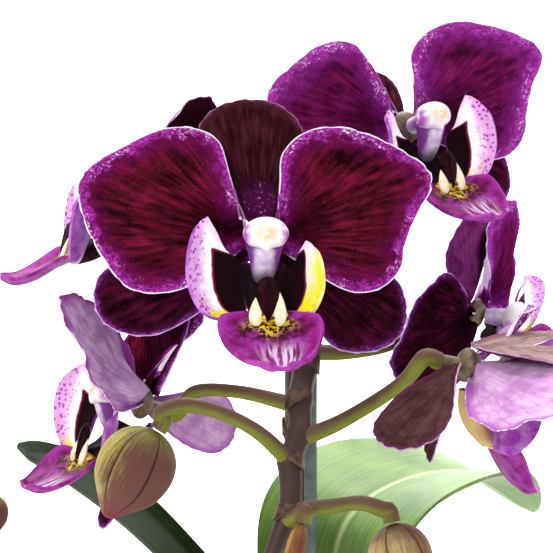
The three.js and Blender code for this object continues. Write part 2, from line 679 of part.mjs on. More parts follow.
// The potting mix: it fills the pot, with chips of bark lying over its top and a hole for each thing
// that stands in it.
function mix() {
  const bottom = POT.floor + CLEARANCE;
  const inner = (z) => potRadius(z) - POT.wall - CLEARANCE;
  const profile = [
    [0, bottom], [inner(POT.floor) - 2 * POT.round, bottom], [inner(POT.floor), bottom + 2 * POT.round],
    [inner(MIX.level), MIX.level], [0, MIX.level],
  ];
  const fill = new THREE.LatheGeometry(profile.map(([r, z]) => new THREE.Vector2(r, z)), POT.sides);
  fill.rotateX(Math.PI / 2);
  const holes = joined([
    crown(CLEARANCE), cane(CLEARANCE), taperedRod(SPIKE, CLEARANCE), taperedRod(SIDE_SPIKE, CLEARANCE),
  ]);
  return joined([solid(fill), ...barkChips(inner(MIX.level) - MIX.margin)]).subtract(holes);
}

// Chips of bark, spread evenly over a disc by the golden angle and tipped at random.
function barkChips(reach) {
  const random = randomSource(7);
  const between = (low, high) => low + (high - low) * random();
  return Array.from({ length: MIX.chips }, (_, i) => {
    const size = [MIX.chipLength, MIX.chipWidth, MIX.chipDepth].map((side) => side * between(0.7, 1.2));
    const chip = new THREE.BoxGeometry(...size);
    chip.rotateX(between(-MIX.tilt, MIX.tilt));
    chip.rotateY(between(-MIX.tilt, MIX.tilt));
    chip.rotateZ(between(0, 2 * Math.PI));
    const distance = reach * Math.sqrt((i + 0.5) / MIX.chips);
    const angle = i * GOLDEN_ANGLE;
    chip.translate(distance * Math.cos(angle), distance * Math.sin(angle), MIX.level + between(-0.2, 0.6));
    return solid(chip);
  });
}

const part = new THREE.Group();
part.add(meshOf('pot', pot(), COLOURS.pot, 0.35));
part.add(meshOf('mix', mix(), COLOURS.mix, 0.9));
part.add(meshOf('crown', crown(), COLOURS.crown, 0.7));
part.add(meshOf('cane', cane(), COLOURS.cane, 0.5));
LEAVES.forEach((shape, i) => part.add(meshOf(`leaf_${i + 1}`, leaf(shape), COLOURS.leaf, 0.4)));
part.add(meshOf('spike_main', mainSpike(), COLOURS.spike, 0.5));
part.add(meshOf('spike_side', sideSpike(), COLOURS.spike, 0.5));
for (const [key, shape] of Object.entries(BUDS)) part.add(meshOf(`bud_${key}`, bud(shape), COLOURS.bud, 0.5));
for (const [key, bloom] of Object.entries(BLOOMS)) part.add(bloomMeshes(key, bloom));
export default part;
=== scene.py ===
"""Potted moth orchid: the finished looks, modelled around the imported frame.

Lengths are millimetres in the tables and formulas below, and become metres as a mesh is placed.
"""

import logging
import math
from dataclasses import dataclass, field
from enum import Enum
from typing import Callable, Sequence

import bpy
import numpy as np
from mathutils import Matrix, Quaternion, Vector


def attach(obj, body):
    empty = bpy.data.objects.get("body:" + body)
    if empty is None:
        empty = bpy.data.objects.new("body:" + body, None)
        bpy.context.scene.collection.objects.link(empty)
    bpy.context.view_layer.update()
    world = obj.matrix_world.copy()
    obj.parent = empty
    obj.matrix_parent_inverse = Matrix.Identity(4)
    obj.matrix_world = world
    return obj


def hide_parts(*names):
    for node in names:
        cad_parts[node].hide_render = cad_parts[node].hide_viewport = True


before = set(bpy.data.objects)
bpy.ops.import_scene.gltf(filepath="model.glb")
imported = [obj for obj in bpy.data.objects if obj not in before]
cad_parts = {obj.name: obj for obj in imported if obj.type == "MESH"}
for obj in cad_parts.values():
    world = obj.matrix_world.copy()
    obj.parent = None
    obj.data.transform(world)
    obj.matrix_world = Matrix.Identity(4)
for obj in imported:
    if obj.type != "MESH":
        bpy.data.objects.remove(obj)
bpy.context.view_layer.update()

MM = 0.001
PI = math.pi
TURN = 2 * math.pi
PATH_SAMPLES = 1200
THIN_MARGIN = 2.5
LOG = logging.getLogger("orchid")

Array = np.ndarray
Points = np.ndarray
Piece = bpy.types.Object
Point = tuple[float, float, float]
Path = Sequence[Sequence[float]]
Marks = dict[str, Array]
Formed = tuple[Points, Marks]
Form = Callable[[Array, Array], Formed]
Radius = Callable[[Array, Array], Array]


def linear(code: str) -> tuple[float, float, float, float]:
    """Turn an sRGB hex colour into linear RGBA."""
    channels = [int(code[k : k + 2], 16) / 255 for k in (1, 3, 5)]
    return (*[c / 12.92 if c <= 0.04045 else ((c + 0.055) / 1.055) ** 2.4 for c in channels], 1.0)


class Value:
    """A number, vector or colour on its way through a material. The signs + - * each add the next node."""

    def __init__(self, pattern: "Pattern", socket: bpy.types.NodeSocket) -> None:
        """Hold one output of a node."""
        self.pattern, self.socket = pattern, socket

    def __add__(self, other: "Value | float") -> "Value":
        """The sum."""
        return self.pattern.maths("ADD", self, other)

    def __sub__(self, other: "Value | float") -> "Value":
        """The difference."""
        return self.pattern.maths("SUBTRACT", self, other)

    def __rsub__(self, other: float) -> "Value":
        """A plain number less this one."""
        return self.pattern.maths("SUBTRACT", other, self)

    def __mul__(self, other: "Value | float") -> "Value":
        """The product."""
        return self.pattern.maths("MULTIPLY", self, other)

    def __abs__(self) -> "Value":
        """The number without its sign."""
        return self.pattern.maths("ABSOLUTE", self)

    def ease(self, low: float, high: float) -> "Value":
        """Smoothly from 0 at the first number to 1 at the second, which may be the lower of the two."""
        ends = {1: high, 2: low, 3: 1.0, 4: 0.0} if low > high else {1: low, 2: high, 3: 0.0, 4: 1.0}
        return self.pattern.add("MapRange", {"interpolation_type": "SMOOTHSTEP"}, {0: self, **ends})


class Pattern:
    """Builds the colour and the relief of one material out of nodes."""

    def __init__(self, tree: bpy.types.NodeTree) -> None:
        """Start a pattern in a material's node tree."""
        self.tree = tree

    def node(self, kind: str, settings: dict | None = None, links: dict | None = None) -> bpy.types.Node:
        """Add a shader node with its settings and links.

        Args:
            kind: The node's type name, without its prefix.
            settings: Properties to set. A colour ramp's stops are pairs of a place and a hex colour.
            links: Input name or number to a value, or to a plain number or colour.

        Returns:
            The new node.
        """
        made = self.tree.nodes.new("ShaderNode" + kind)
        for key, value in (settings or {}).items():
            if key != "stops":
                setattr(made, key, value)
                continue
            for k, (place, code) in enumerate(value):
                stop = made.color_ramp.elements[k] if k < 2 else made.color_ramp.elements.new(place)
                stop.position = place
                stop.color = linear(code)
        for key, value in (links or {}).items():
            if isinstance(value, Value):
                self.tree.links.new(value.socket, made.inputs[key])
            else:
                made.inputs[key].default_value = value
        return made

    def add(self, kind: str, settings: dict | None = None, links: dict | None = None, output: int | str = 0) -> Value:
        """Add a node and take one of its outputs."""
        return Value(self, self.node(kind, settings, links).outputs[output])

    def place(self, name: str) -> Value:
        """A piece's own vector attribute as coordinates."""
        return self.add("Attribute", {"attribute_name": name}, output="Vector")

    def mark(self, name: str) -> list[Value]:
        """The three parts of a piece's own vector attribute."""
        split = self.node("SeparateXYZ", None, {0: self.place(name)})
        return [Value(self, part) for part in split.outputs]

    def maths(self, operation: str, first, second=0.0, third=0.0) -> Value:
        """One sum, product or other step on numbers."""
        return self.add("Math", {"operation": operation}, {0: first, 1: second, 2: third})

    def noise(self, place: Value, size: float, detail: float = 3.0, rough: float = 0.55) -> Value:
        """Cloudy noise whose patches are about one size across."""
        links = {"Vector": place, "Scale": 1 / size, "Detail": detail, "Roughness": rough}
        return self.add("TexNoise", None, links)

    def grain(self, size: float, detail: float = 3.0, rough: float = 0.55) -> Value:
        """Cloudy noise by the piece's own place."""
        return self.noise(self.place("own_place"), size, detail, rough)

    def cells(self, place: Value, size: float, uneven: float) -> Value:
        """How far a place lies from the middle of its cell, in a pattern of cells about one size across."""
        return self.add("TexVoronoi", None, {"Vector": place, "Scale": 1 / size, "Randomness": uneven})

    def stretched(self, first: Value, second: Value) -> Value:
        """Two numbers as coordinates."""
        return self.add("CombineXYZ", None, {0: first, 1: second, 2: 0.0})

    def ramp(self, value: Value, *stops: tuple[float, str]) -> Value:
        """A colour for each value."""
        return self.add("ValToRGB", {"stops": stops}, {0: value})

    def mixed(self, share: Value, under: Value | str, over: Value | str) -> Value:
        """One colour over another."""
        under, over = (linear(colour) if isinstance(colour, str) else colour for colour in (under, over))
        return self.add("Mix", {"data_type": "RGBA"}, {0: share, 6: under, 7: over}, 2)


@dataclass(frozen=True)
class Finish:
    """A surface as it was grown or made. Its subclasses paint it."""

    name: str
    roughness: float = 0.5
    specular: float = 0.5
    subsurface: float = 0.0
    coat: float = 0.0
    bump: float = 0.0
    depth: float = 0.1

    bleed = {"Subsurface Radius": (1.0, 0.35, 0.5), "Subsurface Scale": 0.6 * MM}

    def colour(self, pattern: Pattern) -> Value:
        """The colour of the surface."""
        raise NotImplementedError

    def relief(self, pattern: Pattern) -> Value | None:
        """The height of the fine relief, if there is any."""
        return None

    def build(self) -> bpy.types.Material:
        """Make the material, once."""
        if self.name in bpy.data.materials:
            return bpy.data.materials[self.name]
        material = bpy.data.materials.new(self.name)
        material.use_nodes = True
        shader = material.node_tree.nodes["Principled BSDF"]
        plain = {
            "Roughness": self.roughness, "Specular IOR Level": self.specular, "Coat Weight": self.coat,
            "Subsurface Weight": self.subsurface, **self.bleed,
        }
        for key, value in plain.items():
            shader.inputs[key].default_value = value
        pattern = Pattern(material.node_tree)
        pattern.tree.links.new(self.colour(pattern).socket, shader.inputs["Base Color"])
        height = self.relief(pattern)
        if height is not None:
            links = {"Height": height, "Strength": self.bump, "Distance": self.depth * MM}
            pattern.tree.links.new(pattern.add("Bump", None, links).socket, shader.inputs["Normal"])
        return material


@dataclass(frozen=True)
class TepalSkin(Finish):
    """A petal's or sepal's face: velvety cells, radial streaks, a speckled margin and a thin pale rim."""

    deep: str = "#1C060B"
    body: str = "#460E1C"
    streak: str = "#741438"
    veil: str = "#620E48"
    band: str = "#76126A"
    bright: str = "#B042B2"
    fleck: str = "#F0DCF4"
    rim: str = "#F4E8F8"
    band_width: float = 2.7
    rim_width: float = 0.22
    flecks: float = 0.6
    heart: str = ""
    roughness: float = 0.5
    specular: float = 0.0
    bump: float = 0.2
    depth: float = 0.12

    def colour(self, pattern: Pattern) -> Value:
        """Streaks along the rays, then the margin's band, its flecks, the rim and a few pale dots."""
        place = pattern.place("tepal_place")
        inward = pattern.mark("tepal_place")[2]
        ray = pattern.mark("tepal_ray")
        along = pattern.stretched(ray[0] * 22.0, ray[1] * 3.2)
        streaks = pattern.noise(along, 1.0, 4.0, 0.62)
        cloud = pattern.noise(place, 5.5, 4.0, 0.6)
        both = streaks * 0.6 + cloud * 0.4
        body = pattern.ramp(both, (0.4, self.deep), (0.5, self.body), (0.64, self.streak))
        body = pattern.mixed(ray[2].ease(0.5, 0.08), body, self.deep)
        patches = pattern.noise(place, 2.2, 5.0, 0.68)
        edge = inward + (patches - 0.5) * (2.4 * self.band_width)
        veiled = edge.ease(1.9 * self.band_width, 0.5 * self.band_width)
        body = pattern.mixed(veiled * 0.7, body, self.veil)
        banded = edge.ease(0.9 * self.band_width, 0.1 * self.band_width)
        speckle = pattern.noise(place, 0.5, 3.0, 0.7)
        body = pattern.mixed(banded, body, pattern.ramp(speckle, (0.42, self.band), (0.62, self.bright)))
        spread = pattern.noise(place, 5.0, 2.0).ease(0.52, 0.62)
        near = edge.ease(0.75 * self.band_width, 0.2 * self.band_width)
        flecks = speckle.ease(self.flecks - 0.06, self.flecks + 0.02)
        body = pattern.mixed(flecks * (near * spread), body, self.fleck)
        rim = (inward + patches * self.rim_width).ease(1.7 * self.rim_width, 0.9 * self.rim_width)
        body = pattern.mixed(rim, body, self.rim)
        if self.heart:
            heart = (ray[2] + patches * 0.3).ease(0.56, 0.36)
            sparkles = speckle.ease(0.6, 0.68) * 0.7
            body = pattern.mixed(heart, body, pattern.mixed(sparkles, self.heart, self.fleck))
        dots = pattern.noise(place, 0.3, 0.0).ease(0.79, 0.82)
        return pattern.mixed(dots * 0.3, body, self.bright)

    def relief(self, pattern: Pattern) -> Value | None:
        """Fine ridges along the rays with a velvety grain between them."""
        ray = pattern.mark("tepal_ray")
        along = pattern.stretched(ray[0] * 42.0, ray[1] * 2.0)
        grain = pattern.noise(pattern.place("tepal_place"), 0.45, 2.0)
        return pattern.noise(along, 1.0, 2.0) + grain * 0.6


@dataclass(frozen=True)
class TepalBack(Finish):
    """The back of a petal or sepal: paler, waxy, with darker veins that fan out from its base."""

    middle: str = "#C9A9CC"
    cloudy: str = "#A77BAF"
    vein: str = "#8A4E86"
    edge: str = "#8E3F93"
    edge_width: float = 3.0
    roughness: float = 0.6
    specular: float = 0.0
    subsurface: float = 0.1
    bump: float = 0.3
    depth: float = 0.12

    def veins(self, pattern: Pattern) -> Value:
        """Thin lines that fan out along the rays and waver a little."""
        ray = pattern.mark("tepal_ray")
        waver = pattern.noise(pattern.place("tepal_place"), 4.0, 2.0)
        return pattern.maths("SINE", (ray[0] + waver * 0.16) * 62.0).ease(0.55, 0.98)

    def colour(self, pattern: Pattern) -> Value:
        """A clouded pale middle, the veins, and a stronger colour towards the margin."""
        place = pattern.place("tepal_place")
        inward = pattern.mark("tepal_place")[2]
        cloud = pattern.noise(place, 5.0, 4.0, 0.6)
        body = pattern.ramp(cloud, (0.38, self.cloudy), (0.6, self.middle))
        body = pattern.mixed(self.veins(pattern) * 0.35, body, self.vein)
        ragged = inward + cloud * self.edge_width
        return pattern.mixed(ragged.ease(1.5 * self.edge_width, 0.45 * self.edge_width), body, self.edge)

    def relief(self, pattern: Pattern) -> Value | None:
        """The veins stand a little proud."""
        return self.veins(pattern)


@dataclass(frozen=True)
class Clouded(Finish):
    """A surface of two near colours in soft patches, with a fine grain."""

    first: str = "#FFFFFF"
    second: str = "#EEEEEE"
    patch: float = 3.0
    grain: float = 0.5

    soft = 0.13

    def colour(self, pattern: Pattern) -> Value:
        """Patches of the two colours, by the piece's own place."""
        cloud = pattern.grain(self.patch, 4.0, 0.6)
        return pattern.ramp(cloud, (0.5 - self.soft, self.first), (0.5 + self.soft, self.second))

    def relief(self, pattern: Pattern) -> Value | None:
        """A fine grain."""
        return pattern.grain(self.grain, 3.0) if self.bump else None


@dataclass(frozen=True)
class LobeSkin(Finish):
    """A side lobe of the lip: waxy white, lilac and dotted at its outer side, yellow low down, with a maroon patch at
    its inner foot that painted shade deepens to near black.
    """

    white: str = "#FCF8FC"
    lilac: str = "#DFA6E2"
    dot: str = "#A436AE"
    yellow: str = "#FAEC1E"
    speck: str = "#B4462E"
    line: str = "#6E1030"
    # Near black: painted shade over the lobe's own maroon patch.
    maroon_and_shade: str = "#16040A"
    window: float = 0.53
    window_top: float = 0.6
    yellow_top: float = 0.22
    yellow_strip: float = 0.0
    lilac_share: float = 0.46
    roughness: float = 0.5
    specular: float = 0.03
    subsurface: float = 0.1
    bump: float = 0.12

    def colour(self, pattern: Pattern) -> Value:
        """White, then the lilac outer side with its dots, the yellow foot and strip, the maroon line and the
        near-black patch of painted shade over the lobe's own maroon.
        """
        high, inner, _ = pattern.mark("lobe_place")
        place = pattern.place("own_place")
        cloud = pattern.noise(place, 1.6, 4.0, 0.6)
        wavy = (cloud - 0.5) * 0.5
        outer = (inner + wavy).ease(self.lilac_share, 0.3 * self.lilac_share)
        crown = (high + wavy).ease(0.62, 1.0) * 0.7
        body = pattern.mixed(pattern.maths("MAXIMUM", outer, crown), self.white, self.lilac)
        dots = pattern.cells(place, 0.85, 0.8).ease(0.42, 0.26) * outer
        body = pattern.mixed(dots, body, self.dot)
        foot = (high + wavy).ease(self.yellow_top, 0.4 * self.yellow_top)
        strip = inner.ease(self.yellow_strip, 0.0) * high.ease(0.8, 0.5)
        golden = pattern.maths("MAXIMUM", foot, strip) if self.yellow_strip else foot
        body = pattern.mixed(golden, body, self.yellow)
        specks = pattern.noise(place, 0.5, 2.0).ease(0.6, 0.66)
        low_edge = high.ease(0.42, 0.2) * inner.ease(0.3, 0.1)
        body = pattern.mixed(specks * low_edge, body, self.speck)
        # The patch at the inner foot: a maroon line round it, then near black inside, where painted shade deepens the
        # lobe's own maroon.
        within = inner - self.window
        below = (self.window_top - high) * 1.6
        above = high * 2.2 - 0.02
        inside = pattern.maths("SMOOTH_MIN", pattern.maths("SMOOTH_MIN", within, below, 0.16), above, 0.1)
        inside = inside + wavy * 0.12
        body = pattern.mixed(inside.ease(-0.035, 0.0), body, self.line)
        return pattern.mixed(inside.ease(0.015, 0.05), body, self.maroon_and_shade)

    def relief(self, pattern: Pattern) -> Value | None:
        """Soft waxy grain."""
        return pattern.grain(0.5, 2.0)


@dataclass(frozen=True)
class MidlobeSkin(Finish):
    """The lip's midlobe: waxy magenta-purple with pale streaks, a yellow root with dark spots, a lighter margin."""

    purple: str = "#8C1478"
    deep: str = "#5C0A3C"
    pale: str = "#E9C8EE"
    yellow: str = "#F0CE1E"
    spot: str = "#3C0A18"
    rim: str = "#A43AA6"
    roughness: float = 0.4
    specular: float = 0.1
    subsurface: float = 0.08
    bump: float = 0.15

    def colour(self, pattern: Pattern) -> Value:
        """Purple clouds and pale streaks that run to the tip, then the margin and the spotted yellow root."""
        along, across, _ = pattern.mark("lobe_place")
        place = pattern.place("own_place")
        cloud = pattern.noise(place, 2.6, 4.0, 0.6)
        body = pattern.ramp(cloud, (0.36, self.deep), (0.5, self.purple), (0.7, self.rim))
        dots = pattern.cells(place, 0.62, 0.7)
        body = pattern.mixed(dots.ease(0.34, 0.2) * 0.5, body, self.deep)
        side = abs(across)
        streaked = pattern.noise(pattern.stretched(across * 9.0, along * 2.4), 1.0, 3.0)
        middle = abs(across - 0.16).ease(0.6, 0.2) * along.ease(0.36, 0.52)
        streaks = streaked.ease(0.42, 0.54) * middle
        body = pattern.mixed(streaks * 0.85, body, self.pale)
        body = pattern.mixed(side.ease(0.86, 1.0) * 0.8, body, self.rim)
        reach = along - side.ease(0.3, 0.0) * 0.1
        golden = reach.ease(0.3, 0.12) * side.ease(0.75, 0.4)
        body = pattern.mixed(golden, body, self.yellow)
        spots = pattern.noise(place, 0.75, 2.0).ease(0.45, 0.52)
        spotted = along.ease(0.03, 0.1) * along.ease(0.46, 0.3) * side.ease(0.85, 0.5)
        return pattern.mixed(spots * spotted, body, self.spot)

    def relief(self, pattern: Pattern) -> Value | None:
        """Low ridges along the lobe."""
        across = pattern.mark("lobe_place")[1]
        return pattern.maths("SINE", across * 30.0)


@dataclass(frozen=True)
class CallusSkin(Clouded):
    """The callus: golden, with small maroon spots."""

    spot: str = "#4A0C1C"

    def colour(self, pattern: Pattern) -> Value:
        """The golden clouds, then the spots."""
        spots = pattern.grain(0.6, 1.0).ease(0.53, 0.6)
        return pattern.mixed(spots, super().colour(pattern), self.spot)


@dataclass(frozen=True)
class ColumnSkin(Clouded):
    """The column's body: grey-lilac in the middle, purple at both sides and dark at its lower end."""

    side: str = "#74348A"
    low: str = "#2A0A1C"

    def colour(self, pattern: Pattern) -> Value:
        """The middle's clouds, then the sides and the lower end."""
        own = pattern.mark("own_place")
        cloud = pattern.grain(1.5, 3.0)
        away = abs(own[0]) + cloud
        low = own[1].ease(-4.6, -6.6) * 0.8
        body = pattern.mixed(away.ease(1.5, 2.6), super().colour(pattern), self.side)
        return pattern.mixed(low, body, self.low)


@dataclass(frozen=True)
class CapSkin(Finish):
    """The column's cap: waxy white, a breath of ochre in the middle and lilac at its lower edges."""

    white: str = "#EFE7EA"
    ochre: str = "#E6BE86"
    lilac: str = "#A65CB8"
    roughness: float = 0.4
    specular: float = 0.3
    subsurface: float = 0.1
    bump: float = 0.05

    def colour(self, pattern: Pattern) -> Value:
        """White, ochre where the mark is high in the middle, lilac at the sides."""
        cap = pattern.mark("cap_place")
        cloud = pattern.grain(1.1, 3.0)
        warm = cap[0].ease(0.75, 0.1) * cloud.ease(0.3, 0.56)
        body = pattern.mixed(warm, self.white, self.ochre)
        side = cap[1].ease(0.5, 0.9) * cloud.ease(0.32, 0.56)
        return pattern.mixed(side, body, self.lilac)


@dataclass(frozen=True)
class StemSkin(Finish):
    """A living stem: dull, streaked along its length, with a second colour on its upper side."""

    under: str = "#50403A"
    over: str = "#42322F"
    streak: str = "#261C1A"
    roughness: float = 0.55
    specular: float = 0.2
    bump: float = 0.3
    depth: float = 0.15

    def colour(self, pattern: Pattern) -> Value:
        """Under and upper side, mottled, with dark streaks."""
        stem = pattern.mark("stem_place")
        mottled = pattern.noise(pattern.stretched(stem[0] * 0.22, stem[1] * 9.0), 1.0, 5.0, 0.65)
        body = pattern.mixed((stem[2] + mottled * 1.1).ease(0.1, 1.1), self.under, self.over)
        return pattern.mixed(mottled.ease(0.52, 0.7) * 0.55, body, self.streak)

    def relief(self, pattern: Pattern) -> Value | None:
        """Faint ribs and grain along the stem."""
        stem = pattern.mark("stem_place")
        return pattern.noise(pattern.stretched(stem[0] * 0.5, stem[1] * 16.0), 1.0, 3.0)


@dataclass(frozen=True)
class BudSkin(Finish):
    """A closed bud: matt sepals with fine veins, greener by the stalk, crimson low down, dark along the seams.

    The mark bud_place holds the closeness to a seam, the share of the length and the turn from its front.
    """

    stalk_end: str = "#6A6A2E"
    panel: str = "#A39A4C"
    mauve: str = "#5C3A34"
    tip: str = "#6E1E30"
    seam: str = "#24121A"
    vein: str = "#B8A870"
    lean: float = 0.5
    roughness: float = 0.55
    specular: float = 0.12
    bump: float = 0.45
    depth: float = 0.15

    def colour(self, pattern: Pattern) -> Value:
        """Greenish and mauve panels, the crimson end, the veins and the seams."""
        seam, along, turn = pattern.mark("bud_place")
        cloud = pattern.grain(2.6, 4.0, 0.62)
        veined = pattern.noise(pattern.stretched(turn * 14.0, along * 2.6), 1.0, 6.0, 0.75)
        facing = pattern.maths("COSINE", turn + self.lean)
        warm = (facing + veined * 1.6).ease(0.75, 1.6)
        body = pattern.mixed(warm, self.panel, self.mauve)
        green = (along + cloud * 0.25).ease(0.4, 0.12)
        body = pattern.mixed(green, body, self.stalk_end)
        low = (along + cloud * 0.5).ease(0.98, 1.26)
        body = pattern.mixed(low, body, self.tip)
        body = pattern.mixed(veined.ease(0.48, 0.6) * 0.8, body, self.mauve)
        body = pattern.mixed(veined.ease(0.4, 0.3) * 0.35, body, self.vein)
        return pattern.mixed(seam.ease(0.35, 0.9) * 0.9, body, self.seam)

    def relief(self, pattern: Pattern) -> Value | None:
        """Veins along the bud."""
        _, along, turn = pattern.mark("bud_place")
        return pattern.noise(pattern.stretched(turn * 12.0, along * 2.0), 1.0, 3.0)


@dataclass(frozen=True)
class LeafSkin(Finish):
    """A thick strap leaf: smooth, half glossy, with a pale midrib and faint lengthwise veins."""

    green: str = "#6E8E3A"
    deep: str = "#45642A"
    rib: str = "#A9B87E"
    roughness: float = 0.42
    specular: float = 0.25
    bump: float = 0.2
    depth: float = 0.2

    def colour(self, pattern: Pattern) -> Value:
        """Clouded green with lengthwise veins and the midrib."""
        leaf = pattern.mark("leaf_place")
        cloud = pattern.grain(16.0, 4.0, 0.55)
        lines = pattern.noise(pattern.stretched(leaf[1] * 1.3, leaf[0] * 1.5), 1.0, 3.0)
        both = cloud * 0.6 + lines * 0.4
        body = pattern.ramp(both, (0.38, self.deep), (0.6, self.green))
        middle = abs(leaf[1]).ease(1.1, 0.3)
        return pattern.mixed(middle * 0.8, body, self.rib)

    def relief(self, pattern: Pattern) -> Value | None:
        """Lengthwise veins."""
        leaf = pattern.mark("leaf_place")
        return pattern.noise(pattern.stretched(leaf[1] * 1.6, leaf[0]), 1.0, 2.0)


class Skin(Enum):
    """The finishes, one for each real surface, with darker copies of the leaf skins and of the tepal back that carry
    painted shade.
    """

    PETAL = TepalSkin("velvety petal face")
    PETAL_MAGENTA = TepalSkin(
        "magenta petal face", deep="#32081E", body="#560E3C", streak="#761A56", veil="#7A2076", band="#82207E",
        bright="#AC48B0", rim="#E6CCEA", band_width=3.4, rim_width=0.2,
    )
    DORSAL = TepalSkin(
        "dorsal sepal face", deep="#1A080B", body="#34111A", streak="#48242A", veil="#3A1A20", band="#3C1A24",
        bright="#6A3450", fleck="#CDA8C8", rim="#9A6A84", band_width=1.0, rim_width=0.16, flecks=0.8,
        heart="#4E1244",
    )
    LATERAL = TepalSkin(
        "lateral sepal face", deep="#14050A", body="#2A0A14", streak="#4E1032", veil="#3C0E30", band="#4E1450",
        bright="#8A3C96", fleck="#D8B8E0", rim="#C79CD2", band_width=1.3, rim_width=0.22, flecks=0.7,
    )
    PETAL_BACK = TepalBack("waxy petal back")
    PALE_BACK = TepalBack(
        "pale petal back", middle="#CBA8CC", cloudy="#AE7CB2", vein="#A074A6", edge="#A05AA8", edge_width=1.8,
    )
    SEPAL_BACK = TepalBack(
        "sepal back", middle="#4E3434", cloudy="#382224", vein="#241014", edge="#5A2848", edge_width=1.0,
    )
    TAN_BACK = TepalBack(
        "tan sepal back", middle="#9E8684", cloudy="#755A5C", vein="#553A3E", edge="#8A6078", edge_width=1.2,
    )
    # A darker copy of the tepal back: painted shade on the backs of some tepals.
    DARK_BACK = TepalBack(
        "tepal back in painted shade", middle="#30101A", cloudy="#1C080D", vein="#12050A", edge="#4A1846", edge_width=1.0,
    )
    MAUVE_BACK = TepalBack(
        "mauve sepal back", middle="#6E2A60", cloudy="#4C1640", vein="#34102C", edge="#6A2462", edge_width=1.4,
    )
    MAGENTA_BACK = TepalBack(
        "magenta petal back", middle="#821C70", cloudy="#5C0C46", vein="#40082E", edge="#A040A8", edge_width=1.4,
    )
    TEPAL_EDGE = Clouded("petal edge", first="#A458B0", second="#F8F0FA", patch=1.0)
    SEPAL_EDGE = Clouded("sepal edge", first="#8A4A8C", second="#B98AC0", patch=1.5)
    HUB = Clouded("bloom receptacle", first="#4A3A34", second="#7A6A48", patch=1.5, grain=0.4, bump=0.1)
    LOBE = LobeSkin("dotted side lobe")
    LOBE_YELLOW = LobeSkin("side lobe with a yellow side", yellow_strip=0.6, yellow_top=0.6, lilac_share=0.08,
                           window=0.48, window_top=0.8)
    LOBE_BACK = Clouded("side lobe back", first="#8E34A0", second="#B878C6", patch=2.4, roughness=0.4,
                        specular=0.1)
    MIDLOBE = MidlobeSkin("magenta midlobe")
    CALLUS = CallusSkin("golden callus", first="#EFC01A", second="#F8DC50", patch=1.0, roughness=0.4)
    SHIELD = Clouded("dark crest of the callus", first="#100306", second="#2E0814", patch=1.2, roughness=0.4,
                     specular=0.04)
    YELLOW_BACK = Clouded("yellow lobe back", first="#F2DA2E", second="#FAF0B4", patch=2.4, specular=0.1)
    TOOTH = Clouded("cream tooth", first="#F0E4B4", second="#FBF6DC", patch=1.0, roughness=0.45, specular=0.2)
    MIDLOBE_BACK = Clouded("midlobe back", first="#76146E", second="#A43C9E", patch=2.4, specular=0.1)
    CLAW = StemSkin("dark lip claw", under="#2A0C14", over="#12040A", streak="#3A1024", specular=0.1, bump=0.1)
    CLAW_PALE = StemSkin("pale lip claw", under="#CDB27A", over="#7A2A50", streak="#A88A3A", specular=0.1, bump=0.1)
    CAP = CapSkin("waxy column cap")
    COLUMN = ColumnSkin("column body", first="#BCA6CC", second="#E2D8E8", patch=1.6, specular=0.25)
    CAVITY = Clouded("stigma cavity", first="#120408", second="#2A0A14", patch=0.8, roughness=0.25, specular=0.1)
    STEM = StemSkin("grey-brown spike")
    STALK = StemSkin("olive bloom stalk", under="#6C7222", over="#5C4434", streak="#3A361C", bump=0.15)
    SCALE = Clouded("dry stem scale", first="#32241E", second="#5E4A3A", patch=1.6, grain=0.4, bump=0.3,
                    specular=0.2)
    BUD = BudSkin("olive and mauve bud")
    BUD_TAN = BudSkin("tan bud", stalk_end="#4A3226", panel="#A89468", mauve="#74583E", tip="#7A5440", lean=1.6)
    BUD_SMALL = BudSkin("small striped bud", stalk_end="#8A6A34", panel="#B08A44", mauve="#6E3E28", tip="#5E3424")
    LEAF = LeafSkin("green strap leaf")
    # The next two are darker copies of the leaf skins: painted shade on leaf_2.
    LEAF_DARK = LeafSkin("strap leaf in painted shade", green="#26361A", deep="#141E0E", rib="#44522E", specular=0.05)
    LEAF_DARK_BACK = LeafSkin("leaf back in painted shade", green="#24321A", deep="#141E0E", rib="#36422A", specular=0.03)
    LEAF_BACK = LeafSkin("leaf back", green="#6E8A4A", deep="#4C6A32", rib="#8FA468", roughness=0.5)
    ROOT = Clouded("silvery green root", first="#8E9A74", second="#B9BFA4", patch=3.0, grain=0.6, bump=0.3,
                   roughness=0.7)
    SHEATH = Clouded("old leaf sheath", first="#5E7236", second="#8C9A62", patch=4.0, grain=0.8, bump=0.3,
                     roughness=0.55)
    BARK = Clouded("pine bark chip", first="#3A2418", second="#7A5438", patch=2.2, grain=0.5, bump=0.8,
                   roughness=0.85, depth=0.4)
    GLAZE = Clouded("off-white glaze", first="#CDC5B3", second="#D2CABA", patch=9.0, roughness=0.22, coat=0.4,
                    grain=6.0, bump=0.04)
    CANE = Clouded("coated cane", first="#33403C", second="#4A5650", patch=3.0, grain=0.5, bump=0.1,
                   roughness=0.45)
    FLOOR = Clouded("matt white surface", first="#FAFAFA", second="#FDFDFD", patch=400.0, roughness=0.9,
                    specular=0.1)

    def material(self) -> bpy.types.Material:
        """The finish as a material."""
        return self.value.build()


def spline(points: Path, t: Array) -> Points:
    """A smooth curve through points (uniform Catmull-Rom), at places t from 0 to 1."""
    knots = np.asarray(points, float)
    last = len(knots) - 1
    t = np.clip(np.asarray(t, float), 0, 1) * last
    k = np.minimum(t.astype(int), last - 1)
    w = (t - k)[:, None]
    knots = np.vstack([2 * knots[0] - knots[1], knots, 2 * knots[-1] - knots[-2]])
    a, b, c, d = (knots[k + j] for j in range(4))
    return 0.5 * (2 * b + (c - a) * w + (2 * a - 5 * b + 4 * c - d) * w**2 + (3 * b - a - 3 * c + d) * w**3)


